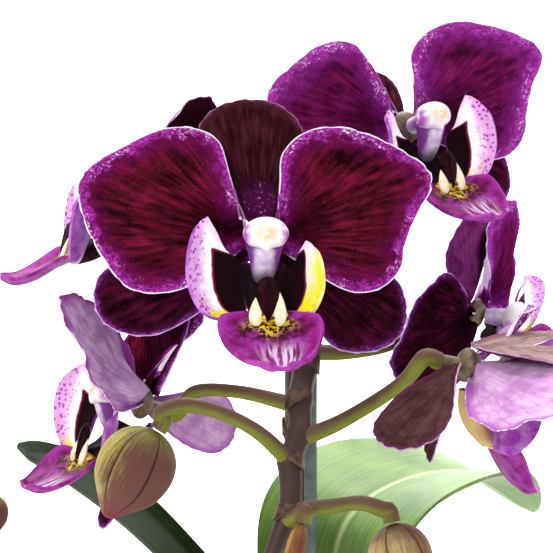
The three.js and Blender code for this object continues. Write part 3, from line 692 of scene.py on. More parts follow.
def unit(vectors: Points) -> Points:
    """The vectors at length 1."""
    return vectors / np.maximum(np.linalg.norm(vectors, axis=-1, keepdims=True), 1e-9)


def ease(x: Array, low: float, high: float) -> Array:
    """Smoothly from 0 at the low value to 1 at the high one."""
    t = np.clip((x - low) / (high - low), 0, 1)
    return t * t * (3 - 2 * t)


def hump(x: Array, width: float) -> Array:
    """A bell curve that is 1 where x is 0."""
    return np.exp(-((x / width) ** 2))


def stacked(*parts: Array) -> Points:
    """A row for each point, out of one array for each column."""
    return np.stack(parts, axis=1)


def only(piece: Piece) -> None:
    """Select one object and make it active."""
    bpy.ops.object.select_all(action="DESELECT")
    piece.select_set(True)
    bpy.context.view_layer.objects.active = piece


def read(items: bpy.types.bpy_prop_collection, name: str) -> Points:
    """One vector of each item in a mesh's list."""
    flat = np.empty(len(items) * 3)
    items.foreach_get(name, flat)
    return flat.reshape(-1, 3)


def write_mark(mesh: bpy.types.Mesh, name: str, values: Array) -> None:
    """Store a vector for each point of a mesh, for its material to read."""
    layer = mesh.attributes.new(name, "FLOAT_VECTOR", "POINT")
    layer.data.foreach_set("vector", np.asarray(values, np.float32).ravel())


def formed(name: str, columns: int, rows: int, form: Form, closed: bool = False) -> Piece:
    """Shape a grid primitive by a formula.

    Args:
        name: The new piece's name.
        columns: Faces along u.
        rows: Faces along v.
        form: Gives the points in millimetres, and the marks, for u and v from 0 to 1.
        closed: Whether the result is a closed skin whose faces are to point outwards.

    Returns:
        The piece, with its seams and poles merged.
    """
    bpy.ops.object.select_all(action="DESELECT")
    bpy.ops.mesh.primitive_grid_add(x_subdivisions=columns, y_subdivisions=rows, size=1)
    piece = bpy.context.object
    piece.name = name
    mesh = piece.data
    u, v = (read(mesh.vertices, "co")[:, :2] + 0.5).T
    points, marks = form(u, v)
    mesh.vertices.foreach_set("co", (points * MM).ravel())
    marks.setdefault("own_place", points)
    for mark, values in marks.items():
        write_mark(mesh, mark, values)
    bpy.ops.object.mode_set(mode="EDIT")
    bpy.ops.mesh.select_all(action="SELECT")
    bpy.ops.mesh.remove_doubles(threshold=1e-6)
    if closed:
        bpy.ops.mesh.normals_make_consistent(inside=False)
    bpy.ops.object.mode_set(mode="OBJECT")
    return piece


def dress(piece: Piece, *skins: Skin) -> Piece:
    """Give a piece its materials, one slot for each skin."""
    for skin in skins:
        piece.data.materials.append(skin.material())
    return piece


def smooth(piece: Piece, angle: float = 50.0) -> Piece:
    """Shade a piece smooth, but for its sharp edges."""
    only(piece)
    bpy.ops.object.shade_smooth_by_angle(angle=math.radians(angle))
    return piece


def sheet(
    name: str, grid: tuple[int, int], form: Form, skins: Sequence[Skin], thickness: float, facing: Sequence[float],
    edge: float = 1.0, mark: str = "tepal_place",
) -> Piece:
    """Shape a thin living sheet by a formula and give it its thickness behind its face.

    Args:
        name: The new piece's name.
        grid: Faces along u and along v.
        form: Gives the points in millimetres, and the marks.
        skins: The skins of the face, the back and the edge.
        thickness: In millimetres.
        facing: Where the face looks.
        edge: The share of the thickness that is left at the margin.
        mark: The mark whose third part tells how far a point lies from the margin, in millimetres.

    Returns:
        The sheet, shaded smooth.
    """
    piece = dress(formed(name, *grid, form), *skins)
    only(piece)
    mesh = piece.data
    if (read(mesh.vertices, "normal") @ np.asarray(facing, float)).sum() < 0:
        mesh.flip_normals()
    solid = piece.modifiers.new("Thickness", "SOLIDIFY")
    solid.thickness = thickness * MM
    solid.offset = -1
    solid.material_offset = 1
    solid.material_offset_rim = 2
    if edge < 1:
        group = piece.vertex_groups.new(name="body")
        for index, inward in enumerate(read(mesh.attributes[mark].data, "vector")[:, 2]):
            group.add([index], float(min(1.0, inward / THIN_MARGIN)), "REPLACE")
        solid.vertex_group = "body"
        solid.thickness_vertex_group = edge
    bpy.ops.object.modifier_apply(modifier=solid.name)
    return smooth(piece, 60)


def joined(name: str, pieces: Sequence[Piece]) -> Piece:
    """Join pieces into one."""
    only(pieces[0])
    for piece in pieces[1:]:
        piece.select_set(True)
    if len(pieces) > 1:
        bpy.ops.object.join()
    whole = bpy.context.object
    whole.name = whole.data.name = name
    return whole


def hand_over(piece: Piece, slot: str, *nodes: str) -> None:
    """Let a finished piece ride with the plant and stand for its CAD nodes."""
    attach(piece, "root")
    if nodes:
        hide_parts(*nodes)
    LOG.info("%s: %d faces", piece.name, len(piece.data.polygons))


def measured(path: Path) -> tuple[Points, Array]:
    """A path in fine steps, and how far along it each of them lies."""
    fine = spline(path, np.linspace(0, 1, PATH_SAMPLES))
    return fine, np.concatenate([[0], np.cumsum(np.linalg.norm(np.diff(fine, axis=0), axis=1))])


def swept(path: Path, steps: int) -> tuple[Points, Points, Points, float]:
    """Evenly spaced centres along a path, with two directions across it that don't spin.

    Args:
        path: The points that the path runs through.
        steps: How many spaces between the centres.

    Returns:
        The centres, the two directions at each, and the length.
    """
    fine, run = measured(path)
    places = np.linspace(0, run[-1], steps + 1)
    centres = np.stack([np.interp(places, run, fine[:, k]) for k in range(3)], axis=1)
    tangents = unit(np.gradient(centres, axis=0))
    side = np.array([0.02, 1.0, 0.01])
    sides = []
    for tangent in tangents:
        side = side - (side @ tangent) * tangent
        side = side / np.linalg.norm(side)
        sides.append(side)
    return centres, np.array(sides), np.cross(tangents, np.array(sides)), float(run[-1])


def tube(
    name: str,
    path: Path,
    radius: Radius,
    sides: int,
    steps: int,
) -> Piece:
    """A round stem along a path, closed at both ends.

    Args:
        name: The new piece's name.
        path: The points that its middle runs through, in millimetres.
        radius: The radius for a share of the length (0 to 1) and a share of the turn (0 to 1).
        sides: Faces round it.
        steps: Faces along it.

    Returns:
        The closed tube.
    """
    centres, across, over, length = swept(path, steps)
    rows = steps + 2

    def form(u: Array, v: Array) -> Formed:
        """Rings along the path, with the first and the last drawn in to a point."""
        row = np.rint(v * rows).astype(int)
        ring = np.clip(row - 1, 0, steps)
        open_share = ((row > 0) & (row < rows)).astype(float)
        turn = TURN * u
        spoke = across[ring] * np.cos(turn)[:, None] + over[ring] * np.sin(turn)[:, None]
        reach = radius(ring / steps, u) * open_share
        points = centres[ring] + spoke * reach[:, None]
        stem = stacked(ring / steps * length, np.abs(2 * u - 1), spoke[:, 2])
        return points, {"stem_place": stem}

    return formed(name, sides, rows, form, closed=True)


def ball(
    name: str,
    centre: Sequence[float],
    radii: Sequence[float],
    sides: int = 32,
    rings: int = 20,
    shape: Callable[[Points], Points] | None = None,
) -> Piece:
    """A closed round body, which a shape function may press out of the plain ellipsoid.

    Args:
        name: The new piece's name.
        centre: Its middle, in millimetres.
        radii: Its half sizes.
        sides: Faces round it.
        rings: Faces from pole to pole.
        shape: Turns points of the unit sphere into points of the wanted form, before the sizes.

    Returns:
        The closed body.
    """

    def form(u: Array, v: Array) -> Formed:
        """The unit sphere, shaped and sized."""
        turn, fall = TURN * u, PI * v
        unit_points = stacked(np.sin(fall) * np.cos(turn), np.sin(fall) * np.sin(turn), np.cos(fall))
        unit_points = np.round(unit_points, 9)
        shaped = shape(unit_points) if shape else unit_points
        across = np.hypot(unit_points[:, 0], unit_points[:, 1])
        cap = stacked(across, np.abs(unit_points[:, 0]), unit_points[:, 2])
        return shaped * np.asarray(radii) + np.asarray(centre), {"cap_place": cap}

    return formed(name, sides, rings, form, closed=True)


@dataclass(frozen=True)
class TepalForm:
    """How a kind of tepal arches, falls back at its tip, rolls back at its sides and ripples at its margin."""

    root: float
    arch: float
    fall: float
    roll: float
    ripple: float
    waves: int
    crimp: float
    groove: float
    back: Skin
    edge: Skin

    def depth(self, phase: float, reach: Array, turn: Array, bearing: Array) -> Array:
        """The height of the face over the bloom's plane."""
        body = self.root + self.arch * np.sin(PI * 0.72 * reach)
        tip = self.fall * (reach * np.cos(bearing)) ** 2
        sides = self.roll * (reach * np.sin(bearing)) ** 2
        wave = self.ripple * reach**5 * np.sin(TURN * self.waves * turn + phase)
        crimps = self.crimp * reach**14 * np.sin(TURN * 21 * turn + 2.0 * phase + 3 * np.sin(9 * turn))
        swell = 0.12 * self.crimp * np.sin(5 * bearing + phase) * np.sin(PI * reach)
        return body - tip - sides + wave + crimps + swell


PETAL = TepalForm(-0.2, 2.9, 1.5, 0.9, 0.45, 7, 0.16, 0.4, Skin.PETAL_BACK, Skin.TEPAL_EDGE)
SEPAL = TepalForm(-1.9, 0.3, 1.2, 0.6, 0.2, 4, 0.08, 0.3, Skin.SEPAL_BACK, Skin.SEPAL_EDGE)


@dataclass(frozen=True)
class Tepal:
    """One petal or sepal: where it heads, the outline round it from one side of its base to the other, its kind."""

    heading: float
    form: TepalForm
    face: Skin
    shift: float
    outline: tuple[tuple[float, float], ...]

    thickness = 0.62
    edge = 0.35
    hinge = 3.1
    wobble = 0.0045
    margin_samples, block = 900, 800
    folds_back = -45
    fine_grid, plain_grid = (112, 34), (80, 24)

    def pose(self, fold: float = 0, spin: float = 0, twist: float = 0) -> Matrix:
        """The twist rolls it about its length, the fold tips it forward, the spin swings it round."""
        angle = math.radians(self.heading)
        along = Vector((math.cos(angle), math.sin(angle), 0))
        foot = Matrix.Translation(along * (self.hinge * MM if fold > 0 or fold < self.folds_back else 0))
        turned = Matrix.Rotation(math.radians(fold), 4, along.cross(Vector((0, 0, 1))))
        rolled = Matrix.Rotation(math.radians(twist), 4, along)
        return Matrix.Rotation(math.radians(spin), 4, "Z") @ foot @ turned @ rolled @ foot.inverted()

    def build(
        self, name: str, phase: float, pose: tuple[float, ...], skins: tuple[Skin, Skin, Skin] | None, fine: bool
    ) -> Piece:
        """Make the tepal in its bloom's frame.

        Args:
            name: The piece's name.
            phase: Where its ripples start, so that no two blooms are alike.
            pose: Its fold, spin and twist in degrees.
            skins: The skins of its face, its back and its edge, where they aren't the usual ones.
            fine: Whether it is one of the blooms nearest to the camera.

        Returns:
            The tepal, with a face, a back and an edge.
        """
        phase = phase + self.shift
        knots = [(x, y, 0.0) for x, y in self.outline]
        margin = spline(knots, np.linspace(0, 1, self.margin_samples))
        root = (margin[0] + margin[-1]) / 2
        heading = math.radians(self.heading)

        def form(u: Array, v: Array) -> Formed:
            """Spread the face from the middle of its base to its margin."""
            wavy = 1 + self.wobble * (np.sin(TURN * 19 * u + phase) + 0.6 * np.sin(TURN * 37 * u))
            ends = np.sin(PI * np.clip(u, 0, 1)) ** 0.3
            outer = spline(knots, u) * (1 + (wavy - 1) * ends)[:, None]
            reach = 1 - (1 - v) ** 1.25
            points = root + (outer - root) * reach[:, None]
            bearing = np.arctan2(points[:, 1], points[:, 0]) - heading
            bearing = (bearing + PI) % TURN - PI
            across = points[:, 1] * math.cos(heading) - points[:, 0] * math.sin(heading)
            inward = np.empty(len(u))
            for start in range(0, len(u), self.block):
                part = slice(start, start + self.block)
                inward[part] = np.linalg.norm(points[part, None, :2] - margin[None, 18:-18, :2], axis=2).min(axis=1)
            inward = np.where(reach > 0.999, 0.0, inward)
            groove = self.form.groove * hump(across, 1.1) * np.sin(PI * np.minimum(1, 1.1 * reach))
            placed = points.copy()
            placed[:, 2] = self.form.depth(phase, reach, u, bearing) - groove
            ray = stacked(bearing, np.hypot(*(points[:, :2] - root[:2]).T) / 22, reach)
            place = stacked(points[:, 0] + 40 * phase, points[:, 1], inward)
            return placed, {"tepal_place": place, "tepal_ray": ray}

        skins = skins or (self.face, self.form.back, self.form.edge)
        grid = self.fine_grid if fine else self.plain_grid
        piece = sheet(name, grid, form, skins, self.thickness, (0, 0, 1), self.edge)
        piece.data.transform(self.pose(*pose))
        return piece


TEPALS = {
    "dorsal": Tepal(95, SEPAL, Skin.DORSAL, 0, (
        (-1.4, 2.4), (-5.4, 6.6), (-8.8, 11.4), (-10.7, 16.4), (-10.3, 20.2), (-7.0, 23.3), (-2.0, 24.4),
        (3.2, 23.4), (6.8, 20.2), (7.6, 16.0), (6.6, 11.4), (4.4, 6.8), (1.6, 2.4),
    )),
    "lateralLeft": Tepal(198, SEPAL, Skin.LATERAL, 2, (
        (-3.0, -0.8), (-9.4, -1.7), (-16.0, -2.1), (-22.4, -2.9), (-27.2, -5.0), (-28.8, -9.0), (-27.6, -13.2),
        (-24.0, -15.6), (-18.6, -16.1), (-13.0, -13.7), (-8.4, -10.4), (-4.4, -6.4), (-1.2, -2.4),
    )),
    "lateralRight": Tepal(328, SEPAL, Skin.LATERAL, 4, (
        (3.0, -0.8), (9.0, -2.6), (15.0, -3.4), (20.6, -4.4), (24.0, -7.6), (25.2, -12.0), (24.4, -16.0),
        (20.9, -18.8), (15.8, -19.4), (11.8, -18.0), (8.6, -13.6), (4.8, -8.0), (1.4, -2.6),
    )),
    "petalLeft": Tepal(163, PETAL, Skin.PETAL, 1, (
        (-2.8, -1.2), (-8.0, -5.0), (-12.8, -7.9), (-18.2, -8.9), (-22.8, -7.8), (-26.2, -4.0), (-28.8, 0.6),
        (-30.5, 5.2), (-31.0, 9.6), (-28.4, 13.2), (-22.8, 16.4), (-17.0, 18.9), (-11.6, 19.2), (-7.2, 16.8),
        (-5.4, 11.4), (-3.4, 4.6),
    )),
    "petalRight": Tepal(17, PETAL, Skin.PETAL, 3, (
        (2.8, -1.4), (8.4, -5.4), (14.8, -8.8), (20.0, -8.4), (23.6, -5.0), (24.6, -0.6), (26.4, 4.0),
        (29.0, 8.6), (28.4, 12.0), (24.6, 15.0), (19.2, 17.6), (13.4, 19.3), (7.6, 18.4), (3.6, 14.8),
        (3.0, 9.6), (2.4, 3.4),
    )),
}


def pointed_up(p: Points) -> Points:
    """A ball drawn out to a point at its top."""
    rest = np.sqrt(np.clip(1 - p[:, 1], 0.02, 2) / 2)
    return stacked(p[:, 0] * rest, p[:, 1], p[:, 2] * rest)


def pointed_down(p: Points) -> Points:
    """A ball drawn out to a point at its foot, with a ridge down its front."""
    rest = np.sqrt(np.clip(1 + p[:, 1], 0.02, 2) / 2)
    ridge = 0.35 * hump(p[:, 0], 0.22) * ease(p[:, 2], 0, 0.6)
    return stacked(p[:, 0] * rest, p[:, 1], p[:, 2] * rest + ridge)


@dataclass(frozen=True)
class Lip:
    """The lip: two upright side lobes, the midlobe held forward, the callus between them and the claw."""

    left: tuple[float, float] = (1, 1)
    right: tuple[float, float] = (1, 1)
    right_skin: Skin = Skin.LOBE
    claw_skin: Skin = Skin.CLAW

    outer = (
        (-4.6, -13.0, 7.4), (-9.6, -12.2, 9.0), (-12.0, -7.4, 11.0), (-12.2, -2.2, 11.4), (-11.3, 1.3, 10.4),
        (-10.4, 3.0, 9.4), (-9.2, 3.8, 8.6),
    )
    inner = (
        (-3.0, -12.2, 7.8), (-3.2, -10.4, 7.2), (-3.8, -7.2, 6.6), (-4.0, -3.6, 6.4), (-6.3, -1.6, 6.8),
        (-7.8, 1.4, 7.6), (-9.2, 3.8, 8.6),
    )
    lean = (0.5, 0.1, 0.86)
    hollow = 1.4
    spine = ((0.8, -12.4, 7.4), (0.8, -15.2, 10.6), (1.1, -18.4, 13.8), (1.7, -20.4, 17.0), (2.2, -20.4, 19.6))
    half_width = (2.6, 8.0, 7.8, 5.2, 1.4)
    wing = 3.4
    thickness = 0.7
    crest = {
        "shield": ((0.5, -9.9, 9.9), (2.5, 3.8, 0.9), Skin.SHIELD, pointed_down),
        "tooth_left": ((-1.5, -11.9, 9.8), (1.5, 2.4, 0.7), Skin.TOOTH, pointed_up),
        "tooth_right": ((2.5, -11.5, 9.8), (1.4, 2.8, 0.7), Skin.TOOTH, pointed_up),
    }

    def side_lobe(self, name: str, mirror: int, size: tuple[float, float], skin: Skin) -> Piece:
        """One side lobe, hollowed a little, on the viewer's left (1) or right (-1)."""
        foot = self.outer[0][1]

        def sized(points: Path) -> list[Point]:
            """The curve's points at this lobe's width and height."""
            return [(mirror * x * size[0], foot + (y - foot) * size[1], z) for x, y, z in points]

        outer, inner = sized(self.outer), sized(self.inner)
        lean = np.array([mirror * self.lean[0], self.lean[1], self.lean[2]])

        def form(u: Array, v: Array) -> Formed:
            """Between the outer and the inner curve, from the foot to the top."""
            a, b = spline(outer, u), spline(inner, u)
            points = a + (b - a) * v[:, None]
            hollow = self.hollow * np.sin(PI * v) * np.sin(PI * np.minimum(1, u + 0.1))
            curl = 0.9 * ease(u, 0.45, 0.8) * (1 - ease(u, 0.8, 1.0)) * np.sin(PI * v)
            flare = 0.25 * np.sin(14 * u) * (1 - v) ** 3 * (1 - ease(u, 0.8, 1.0))
            points = points - (hollow - curl - flare)[:, None] * lean
            return points, {"lobe_place": stacked(u, v, 0 * u)}

        back = Skin.YELLOW_BACK if skin is Skin.LOBE_YELLOW else Skin.LOBE_BACK
        return sheet(name, (44, 28), form, (skin, back, back), self.thickness, lean)

    def midlobe(self, name: str) -> Piece:
        """The midlobe: a keeled blade with raised wings that narrows to its tip."""

        def form(u: Array, v: Array) -> Formed:
            """Across the spine, with the wings raised."""
            across = 2 * v - 1
            points = spline(self.spine, u)
            width = spline([(w, 0, 0) for w in self.half_width], u)[:, 0]
            points[:, 0] += across * width
            points[:, 1] += self.wing * np.abs(across) ** 2.2 * (1 - 0.75 * u) * np.minimum(1, 0.2 + 3.2 * u)
            keel = 0.45 * hump(across, 0.16) * np.sin(PI * u)
            points[:, 1] -= 0.25 * np.sin(9 * across + 5 * u) * np.sin(PI * u) - keel
            return points, {"lobe_place": stacked(u, across, 0 * u)}

        skins = (Skin.MIDLOBE, Skin.MIDLOBE_BACK, Skin.MIDLOBE_BACK)
        return sheet(name, (44, 40), form, skins, self.thickness, (0, 0.62, 0.78))

    def callus(self, name: str) -> Piece:
        """The callus: a two-horned yellow cushion between the side lobes, with a dark shield and two cream teeth."""

        def horned(p: Points) -> Points:
            """Two horns at the front of the cushion with a cleft between them."""
            horn = hump(np.abs(p[:, 0]) - 0.45, 0.28) * ease(p[:, 2], 0.2, 1.0)
            return p * (1 + 0.22 * horn - 0.16 * hump(p[:, 0], 0.16) * ease(p[:, 2], 0.0, 1.0))[:, None]

        pieces = [dress(ball(name, (0.8, -12.7, 8.2), (3.3, 1.3, 1.8), 36, 20, horned), Skin.CALLUS)]
        for part, (centre, sizes, skin, shape) in self.crest.items():
            pieces.append(dress(ball(f"{name}_{part}", centre, sizes, 24, 24, shape), skin))
        return joined(name, [smooth(piece, 80) for piece in pieces])

    def claw_radius(self, share: Array, turn: Array) -> Array:
        """Broad and flat where it leaves the column's foot, round where it meets the midlobe."""
        return 1.0 + 0.9 * share + 3.0 * np.sin(TURN * turn) ** 2 * (1 - share) ** 0.4

    def build(self, name: str) -> Piece:
        """Make the lip in its bloom's frame."""
        path = ((0.1, -4.2, 2.0), (0.1, -7.6, 2.8), (0.4, -10.2, 4.6), (0.8, -12.4, 7.6))
        claw = tube(name + "_claw", path, self.claw_radius, 32, 20)
        dress(claw, self.claw_skin)
        pieces = [
            self.side_lobe(name + "_left", 1, self.left, Skin.LOBE),
            self.side_lobe(name + "_right", -1, self.right, self.right_skin),
            self.midlobe(name + "_middle"),
            self.callus(name + "_callus"),
            smooth(claw, 60),
        ]
        return joined(name, pieces)


class Column:
    """The column: a stout body, the face under it, the dark cavity and the rounded cap at its end."""

    foot = 1.95
    cap = (0.3, 0.9, 8.7)
    cap_size = (3.8, 2.8, 2.9)

    def cap_shape(self, p: Points) -> Points:
        """A dome with a flatter underside, a soft cleft and a small beak that points down and forward."""
        x, y, z = p.T.copy()
        y = np.where(y < 0, y * 0.86, y)
        beak = hump(x, 0.2) * ease(-y, 0.1, 0.8) * ease(z, -0.2, 0.7)
        cleft = 0.1 * hump(x, 0.13) * ease(z, 0.3, 1.0) * ease(y, -0.3, 0.5)
        cheek = 0.07 * hump(np.abs(x) - 0.62, 0.25) * ease(-y, 0.0, 0.6)
        scale = 1 + cheek - cleft
        return stacked(x * scale, y * scale - 0.42 * beak, z * scale + 0.1 * beak)

    def face_radius(self, share: Array, turn: Array) -> Array:
        """Broad at the top and flattened a little at the front and the back."""
        return (2.75 - 1.25 * share) * (1 - 0.14 * np.cos(4 * PI * turn))

    def build(self, name: str) -> Piece:
        """Make the column in its bloom's frame."""
        stout = ((0, 0.2, self.foot), (0.1, 0.2, 4.5), (0.2, 0.4, 8))
        down = ((0.2, -0.6, 7.6), (0.1, -4.0, 5.8), (0, -6.6, 3.6))
        pieces = (
            dress(tube(name + "_body", stout, lambda t, u: 1.6 + 0.8 * t, 28, 10), Skin.COLUMN),
            dress(tube(name + "_face", down, self.face_radius, 32, 16), Skin.COLUMN),
            dress(ball(name + "_cavity", (0.05, -6.3, 4.2), (1.1, 1.0, 1.05), 20, 12), Skin.CAVITY),
            dress(ball(name + "_cap", self.cap, self.cap_size, 44, 30, self.cap_shape), Skin.CAP),
        )
        return joined(name, [smooth(piece, 80) for piece in pieces])


@dataclass(frozen=True)
class Bloom:
    """One open bloom: where it hangs and looks, its lip, and how far its tepals fold, spin and twist (degrees)."""

    key: str
    at: Point
    yaw: float
    pitch: float
    roll: float
    size: float
    phase: float
    lip: Lip
    pose: dict[str, tuple[float, ...]] = field(default_factory=dict)
    skins: dict[str, tuple[Skin, Skin, Skin]] = field(default_factory=dict)
    fine: bool = False

    neck_end = -5.6

    def frame(self) -> Matrix:
        """The bloom's frame in the plant: unturned, it faces -Y with the dorsal sepal up."""
        turn = Quaternion((1, 0, 0), math.radians(90)) @ Quaternion((0, 1, 0), math.radians(self.yaw))
        turn = turn @ Quaternion((1, 0, 0), -math.radians(self.pitch))
        turn = turn @ Quaternion((0, 0, 1), math.radians(self.roll))
        return Matrix.LocRotScale(Vector(self.at) * MM, turn, Vector((self.size,) * 3))

    def tepals(self, name: str) -> Piece:
        """The five tepals on the receptacle and its neck."""
        pieces = [
            tepal.build(f"{name}_{part}", self.phase, self.pose.get(part, ()), self.skins.get(part), self.fine)
            for part, tepal in TEPALS.items()
        ]
        hub = ball(name + "_hub", (0, 0.4, -0.4), (3.4, 3.2, 1.85), 28, 16)
        neck = tube(name + "_neck", ((0, 0.2, -1), (0, 0.2, self.neck_end)), lambda t, u: 1.35 + 0 * t, 18, 6)
        for piece in (hub, neck):
            dress(piece, Skin.HUB)
        return joined(name, pieces + [smooth(hub, 80), smooth(neck, 60)])

    def build(self) -> None:
        """Make the bloom and set it in its place."""
        frame_matrix = self.frame()
        parts = {
            "tepals": (self.tepals(f"bloom_{self.key}_tepals_grown"), "tepal"),
            "column": (Column().build(f"bloom_{self.key}_column_grown"), "column"),
            "lip": (self.lip.build(f"bloom_{self.key}_lip_grown"), "lip"),
        }
        for part, (piece, slot) in parts.items():
            piece.data.transform(frame_matrix)
            hand_over(piece, slot, f"bloom_{self.key}_{part}")


MAGENTA = (Skin.PETAL_MAGENTA, Skin.PETAL_BACK, Skin.TEPAL_EDGE)
PALE = (Skin.PETAL, Skin.PALE_BACK, Skin.TEPAL_EDGE)
SHORT_RIGHT = Lip(right=(0.75, 0.76), right_skin=Skin.LOBE_YELLOW)
LOW = Lip(left=(0.85, 0.66), right=(0.85, 0.66), claw_skin=Skin.CLAW_PALE)
# The usual petal face with its back in painted shade.
BACK_IN_SHADE = (Skin.PETAL, Skin.DARK_BACK, Skin.TEPAL_EDGE)
BLOOMS = (
    Bloom("a", (-6.5, -55, 206), 3, 8, 0, 1, 0.4, SHORT_RIGHT, fine=True),
    Bloom("b", (20.6, -24.4, 223.6), 30, 12, 8, 0.95, 2.1, Lip(), {
        "dorsal": (-42,), "petalRight": (31, -1),
    }, {"petalLeft": MAGENTA, "petalRight": MAGENTA}, True),
    Bloom("c", (-32.6, -14.3, 207.8), -80, 19, 0, 1, 3.7, Lip(), {
        "dorsal": (-31,), "petalRight": (-6, 34, -39), "petalLeft": (-27,), "lateralRight": (-12,),
        "lateralLeft": (-12,),
    }, {"petalLeft": BACK_IN_SHADE, "petalRight": BACK_IN_SHADE}),
    Bloom("d", (-30.0, -29.1, 171.6), -60, 20, 0, 0.95, 5.2, Lip(left=(1.22, 1.05), right=(0.9, 0.7)), {
        "dorsal": (2, 8), "petalRight": (64, 55, -18), "petalLeft": (-16, -40, 7), "lateralRight": (24, -17),
        "lateralLeft": (-73, -26, -34),
    }, {
        "dorsal": (Skin.LATERAL, Skin.DARK_BACK, Skin.SEPAL_EDGE), "petalLeft": BACK_IN_SHADE,
        "lateralLeft": (Skin.LATERAL, Skin.PALE_BACK, Skin.SEPAL_EDGE),
    }),
    Bloom("e", (29, -55, 184), 105, -13, 0, 0.95, 1.3, LOW, {
        "dorsal": (75, 43, -38), "petalLeft": (25, 9, -50), "petalRight": (30, -14, 33),
        "lateralLeft": (-30, 16, -54), "lateralRight": (16, -6),
    }, {
        "dorsal": (Skin.DORSAL, Skin.TAN_BACK, Skin.SEPAL_EDGE), "petalLeft": PALE, "petalRight": PALE,
    }, True),
    Bloom("f", (35.6, -16.5, 186.8), 65, -5, 45, 0.9, 4.4, Lip(), {
        "dorsal": (4, -27, -12), "petalLeft": (-15, -14), "petalRight": (0, -19), "lateralLeft": (-20,),
    }, {
        "dorsal": (Skin.MAUVE_BACK, Skin.MAUVE_BACK, Skin.SEPAL_EDGE),
        "petalLeft": (Skin.LATERAL, Skin.DARK_BACK, Skin.TEPAL_EDGE),
        "petalRight": (Skin.PETAL_MAGENTA, Skin.MAGENTA_BACK, Skin.TEPAL_EDGE),
    }),
)


@dataclass(frozen=True)
class Bud:
    """A closed bud on its stalk: three sepals pressed together, from its stalk's end to its point."""

    name: str
    start: Point
    end: Point
    radius: float
    skin: Skin
    seams: tuple[float, ...] = (-23, 35, 97, 157, 217)

    def axis(self) -> Array:
        """Its direction, from the stalk to the point."""
        return unit(np.array(self.end) - np.array(self.start))

    def seat(self) -> list[Array]:
        """The last two points of its stalk."""
        return [np.array(self.start) - back * self.axis() for back in (2.2, 0.35)]

    def build(self) -> None:
        """Make the bud and set it in its place."""
        length = float(np.linalg.norm(np.array(self.end) - np.array(self.start)))
        aim = Vector((0, 1, 0)).rotation_difference(Vector(self.axis()))
        ahead = aim.inverted() @ Vector((0, -1, 0))
        front = math.atan2(ahead.z, ahead.x)

        def form(u: Array, v: Array) -> Formed:
            """A plump, three-sided drop with grooves along its seams."""
            turn, fall = TURN * (u - 0.5), PI * (1 - v)
            along = (np.cos(fall) + 1) / 2
            seam = np.zeros(len(u))
            ridge = np.zeros(len(u))
            for place in self.seams:
                off = (turn - math.radians(place) + 0.25 * (along - 0.5) + PI) % TURN - PI
                seam = np.maximum(seam, hump(off, 0.045))
                ridge += hump(off - 0.16, 0.1)
            body = np.sin(PI * along)
            ribs = 0.008 * np.sin(13 * turn + 2) * body
            girth = (1.0 - 0.05 * seam * body + 0.035 * ridge * body + ribs) * (1.08 - 0.28 * along) * np.sin(fall)
            girth = girth * (1 - 0.3 * ease(along, 0.66, 1.0)) * 0.95 * self.radius
            reach = along * length * (1 + 0.06 * along**4)
            angle = front - turn
            across = stacked(girth * np.cos(angle), reach, girth * np.sin(angle))
            return np.round(across, 7), {"bud_place": stacked(seam, along, turn)}

        piece = formed(self.name + "_grown", 168, 44, form, closed=True)
        piece.data.transform(Matrix.LocRotScale(Vector(self.start) * MM, aim, None))
        dress(piece, self.skin)
        hand_over(smooth(piece, 80), "bud", self.name)


BUDS = {
    bud.name: bud
    for bud in (
        Bud("bud_left", (-24.4, -58.4, 173.6), (-32.6, -60.6, 160.0), 7.4, Skin.BUD),
        Bud("bud_right", (15.8, -60.7, 158.0), (19.0, -63.4, 145.4), 6.0, Skin.BUD_TAN, (-45, 20, 80, 200)),
        Bud("bud_shoot", (0.3, -62.0, 158.4), (-2.0, -63.6, 149.6), 1.8, Skin.BUD_SMALL),
        Bud("bud_tip", (-7.35, -61.7, 146.9), (-9.3, -63.3, 140.0), 1.7, Skin.BUD_SMALL),
        Bud("bud_side", (-60.4, -20.9, 151.6), (-60.0, -21.0, 143.6), 3.7, Skin.BUD),
        Bud("bud_side_tip", (-66.2, -20.6, 158.4), (-66.6, -20.2, 164.4), 2.1, Skin.BUD),
    )
}


